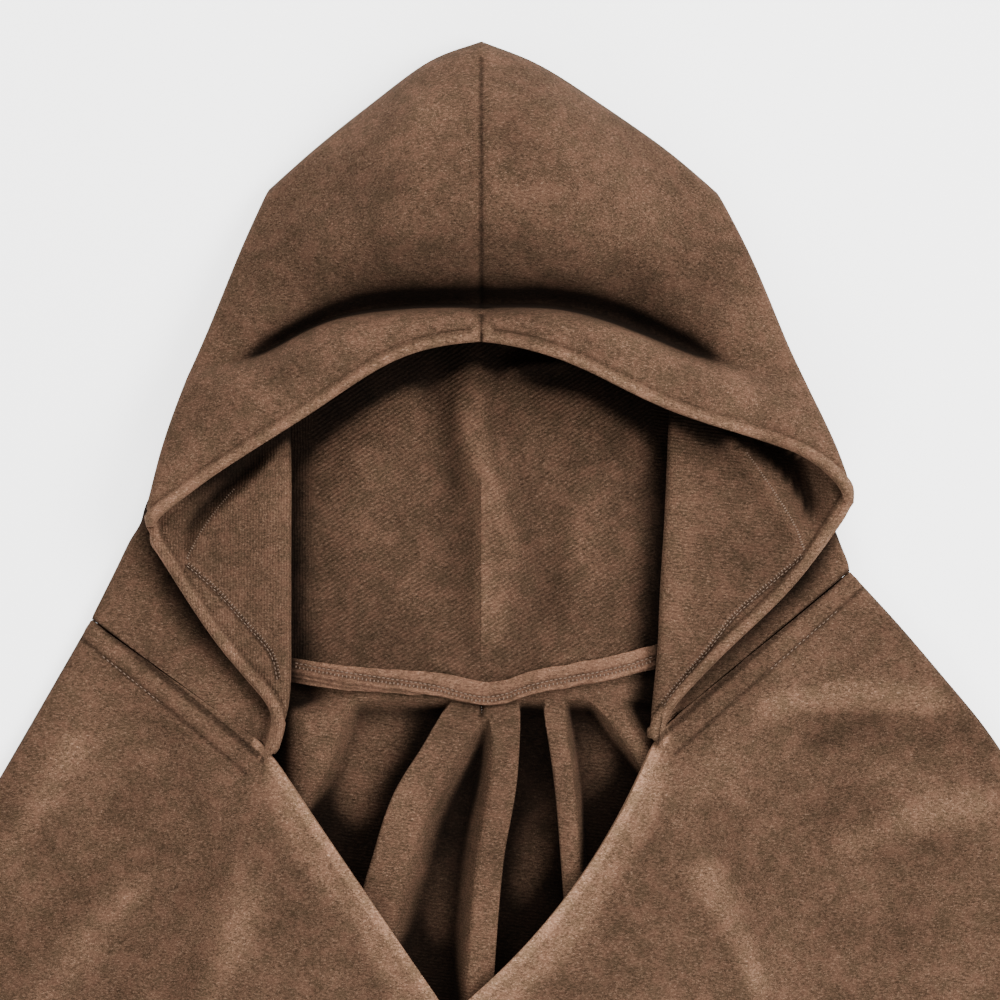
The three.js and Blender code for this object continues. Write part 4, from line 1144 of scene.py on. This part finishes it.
def store_painted_shading():
    """Finds how deep each point lies below the cloth around it, for the finish to darken with painted shade,
    and how far it stands above, for painted light.
    """
    pieces = [thing for thing in bpy.data.objects if "_cloth" in thing.name]
    corners, faces = [], []
    for piece in pieces:
        faces += [[v + len(corners) for v in face.vertices] for face in piece.data.polygons]
        corners += [v.co for v in piece.data.vertices]
    tree = BVHTree.FromPolygons(corners, faces)
    first, last = np.array(CAD_BOX)
    low = (first - ORIGIN)[:2] / MM
    size = ((last - first)[:2] / (HOLLOW_STEP * MM)).astype(int) + 1
    heights = np.zeros(size)
    for i, j in np.ndindex(*size):
        above = to_frame(low[0] + i * HOLLOW_STEP, low[1] + j * HOLLOW_STEP, SKY)
        hit = tree.ray_cast(above, DOWN)[0]
        heights[i, j] = hit.z / MM if hit else 0
    open_level = blurred(heights)
    cloth_level = open_level / np.maximum(blurred((heights > 0).astype(float)), 0.01)
    for piece in pieces:
        flat = np.zeros(len(piece.data.vertices) * 3, np.float32)
        piece.data.vertices.foreach_get("co", flat)
        points = (flat.reshape(-1, 3) - ORIGIN) / MM
        height = points[:, 2]
        place = np.clip((points[:, :2] - low) / HOLLOW_STEP, 0, size - 1.001)
        around = (*place.astype(int).T, *(place % 1).T)
        share = lerp(*CREST_SHARES[piece.name.split("_")[0]], ease(*HIGH_CLOTH, height))
        # painted shade in the hollows and painted light on the crests
        store(piece, "hollow", ease(*HOLLOW_DEPTHS, sampled(open_level, *around) - height))
        store(piece, "crest", ease(0, CREST_HIGH, height - sampled(cloth_level, *around)) * share)


# The stage: where each light is and its size in metres, the place the lights are turned to, and how far
# the floor lies below the cloth
LIGHTS = {
    "key": ((1.5, 0.5, 1.7), (1.3, 1.3)),
    "front": ((-0.3, -1.9, 1.3), (1.4, 0.9)),
    "top": ((0.0, 2.0, 1.9), (1.5, 0.9)),
}
AIM = (10, 100, 30)
FLOOR_DROP = 0.6
FLOOR_SIZE = 6.0
SKY_COLOUR = (1.0, 0.985, 0.97, 1)
SENSOR = 36


def make_stage(settings):
    bm = bmesh.new()
    bmesh.ops.create_grid(bm, x_segments=1, y_segments=1, size=FLOOR_SIZE)
    mesh = bpy.data.meshes.new("floor")
    bm.to_mesh(mesh)
    bm.free()
    floor = bpy.data.objects.new("floor", mesh)
    floor.location.z = -FLOOR_DROP * MM
    bpy.context.scene.collection.objects.link(floor)
    finish = Finish("floor")
    finish.set(Base_Color=tuple(settings.floor_colour), Roughness=0.9)
    finish.set(Emission_Color=(1, 1, 1), Emission_Strength=settings.floor_glow)
    mesh.materials.append(finish.material)

    world = bpy.data.worlds.new("studio")
    world.use_nodes = True
    sky = world.node_tree.nodes["Background"]
    sky.inputs["Color"].default_value = SKY_COLOUR
    sky.inputs["Strength"].default_value = settings.fill
    bpy.context.scene.world = world

    for name, (place, size) in LIGHTS.items():
        light = bpy.data.lights.new(name, "AREA")
        light.shape = "RECTANGLE"
        light.size, light.size_y = size
        light.energy = getattr(settings, name)
        lamp = bpy.data.objects.new(name, light)
        lamp.location = place
        aim = to_frame(*AIM) - lamp.location
        lamp.rotation_euler = aim.to_track_quat("-Z", "Y").to_euler()
        bpy.context.scene.collection.objects.link(lamp)

    camera = bpy.data.cameras.new("camera")
    camera.sensor_width = SENSOR
    camera.lens = SENSOR * settings.camera_height / settings.view_width
    camera.clip_end = 50
    holder = bpy.data.objects.new("camera", camera)
    holder.location = to_frame(settings.view_x / MM, settings.view_y / MM, AIM[2])
    holder.location.z += settings.camera_height
    bpy.context.scene.collection.objects.link(holder)
    bpy.context.scene.camera = holder


# --- Add-on ---


def number(name, description, default, **more):
    return bpy.props.FloatProperty(name=name, description=description, default=default, **more)


def length(name, description, default):
    return number(name, description, default, unit="LENGTH", precision=5)


class PonchoCloth(bpy.types.PropertyGroup):
    """Sizes of the cloth."""

    rim_round: length("Rim Round", "How far the corners of the cloth's rim are rounded", 0.0008)
    wave_height: length("Wave Height", "Height of the small uneven waves of the cloth", 0.0009)
    crease_depth: number("Crease Depth", "Depth of the creases against the real ones", 1.0, min=0, max=2)


class PonchoStage(bpy.types.PropertyGroup):
    """The studio."""

    floor_colour: bpy.props.FloatVectorProperty(
        name="Floor", description="Colour of the floor", subtype="COLOR", size=3, default=(0.93, 0.93, 0.93)
    )
    floor_glow: number("Floor Glow", "Light given off by the floor", 1.8)
    fill: number("Fill", "Strength of the light all round", 0.95)
    key: number("Key", "Power of the light from the right", 72, unit="POWER")
    front: number("Front", "Power of the low light", 44, unit="POWER")
    top: number("Top", "Power of the light from behind the hood", 62, unit="POWER")
    camera_height: length("Camera Height", "Distance of the camera above the cloth", 4.0)
    view_width: length("View Width", "Width of what the camera sees", 0.6)
    view_x: length("View X", "Middle of the view, to the right of the centre seam", 0.0112)
    view_y: length("View Y", "Middle of the view, above the neck seam", 0.114)


class PONCHO_OT_hood(bpy.types.Operator):
    """Make the two halves of the hood"""

    bl_idname = "poncho.hood"
    bl_label = "Hood"

    def execute(self, context):
        for side in SIGNS:
            make_hood(side, context.scene.poncho_cloth)
        return {"FINISHED"}


class PONCHO_OT_fronts(bpy.types.Operator):
    """Make the two fronts"""

    bl_idname = "poncho.fronts"
    bl_label = "Fronts"

    def execute(self, context):
        for side in SIGNS:
            make_front(side, context.scene.poncho_cloth)
        return {"FINISHED"}


class PONCHO_OT_backs(bpy.types.Operator):
    """Make the two backs"""

    bl_idname = "poncho.backs"
    bl_label = "Backs"

    def execute(self, context):
        for side in SIGNS:
            make_back(side, context.scene.poncho_cloth)
        return {"FINISHED"}


class PONCHO_OT_neck_band(bpy.types.Operator):
    """Make the band over the neck seam"""

    bl_idname = "poncho.neck_band"
    bl_label = "Neck Band"

    def execute(self, context):
        make_neck_band(context.scene.poncho_cloth)
        return {"FINISHED"}


class PONCHO_OT_hollows(bpy.types.Operator):
    """Find the hollows between the folds, which the finish darkens with painted shade, and the crests, which
    it lightens with painted light, once all the cloth is made
    """

    bl_idname = "poncho.hollows"
    bl_label = "Hollows"

    def execute(self, context):
        store_painted_shading()
        return {"FINISHED"}


class PONCHO_OT_stitching(bpy.types.Operator):
    """Sew the visible rows of stitches, after the pieces that they are on"""

    bl_idname = "poncho.stitching"
    bl_label = "Stitching"

    def execute(self, context):
        for side in SIGNS:
            sew_side(side)
        sew_band()
        return {"FINISHED"}


class PONCHO_OT_stage(bpy.types.Operator):
    """Make the floor, the lights and the camera"""

    bl_idname = "poncho.stage"
    bl_label = "Stage"

    def execute(self, context):
        make_stage(context.scene.poncho_stage)
        return {"FINISHED"}


class PONCHO_PT_panel(bpy.types.Panel):
    """Lists the pieces of the poncho"""

    bl_idname = "PONCHO_PT_panel"
    bl_label = "Poncho"
    bl_space_type = "VIEW_3D"
    bl_region_type = "UI"
    bl_category = "Poncho"

    def draw(self, context):
        column = self.layout.column()
        for group in (context.scene.poncho_cloth, context.scene.poncho_stage):
            for name in group.bl_rna.properties.keys():
                if name not in ("rna_type", "name"):
                    column.prop(group, name)
        for operator in OPERATORS:
            column.operator(operator.bl_idname)


GROUPS = {"poncho_cloth": PonchoCloth, "poncho_stage": PonchoStage}
OPERATORS = [
    PONCHO_OT_stage,
    PONCHO_OT_backs,
    PONCHO_OT_fronts,
    PONCHO_OT_hood,
    PONCHO_OT_neck_band,
    PONCHO_OT_hollows,
    PONCHO_OT_stitching,
]


def register():
    for cls in (*GROUPS.values(), *OPERATORS, PONCHO_PT_panel):
        bpy.utils.register_class(cls)
    for name, cls in GROUPS.items():
        setattr(bpy.types.Scene, name, bpy.props.PointerProperty(type=cls))


def unregister():
    for name in GROUPS:
        delattr(bpy.types.Scene, name)
    for cls in reversed((*GROUPS.values(), *OPERATORS, PONCHO_PT_panel)):
        bpy.utils.unregister_class(cls)


def main():
    register()
    bpy.ops.poncho.stage()
    bpy.ops.poncho.backs()
    bpy.ops.poncho.fronts()
    bpy.ops.poncho.hood()
    bpy.ops.poncho.neck_band()
    bpy.ops.poncho.hollows()
    bpy.ops.poncho.stitching()


if __name__ == "__main__":
    main()
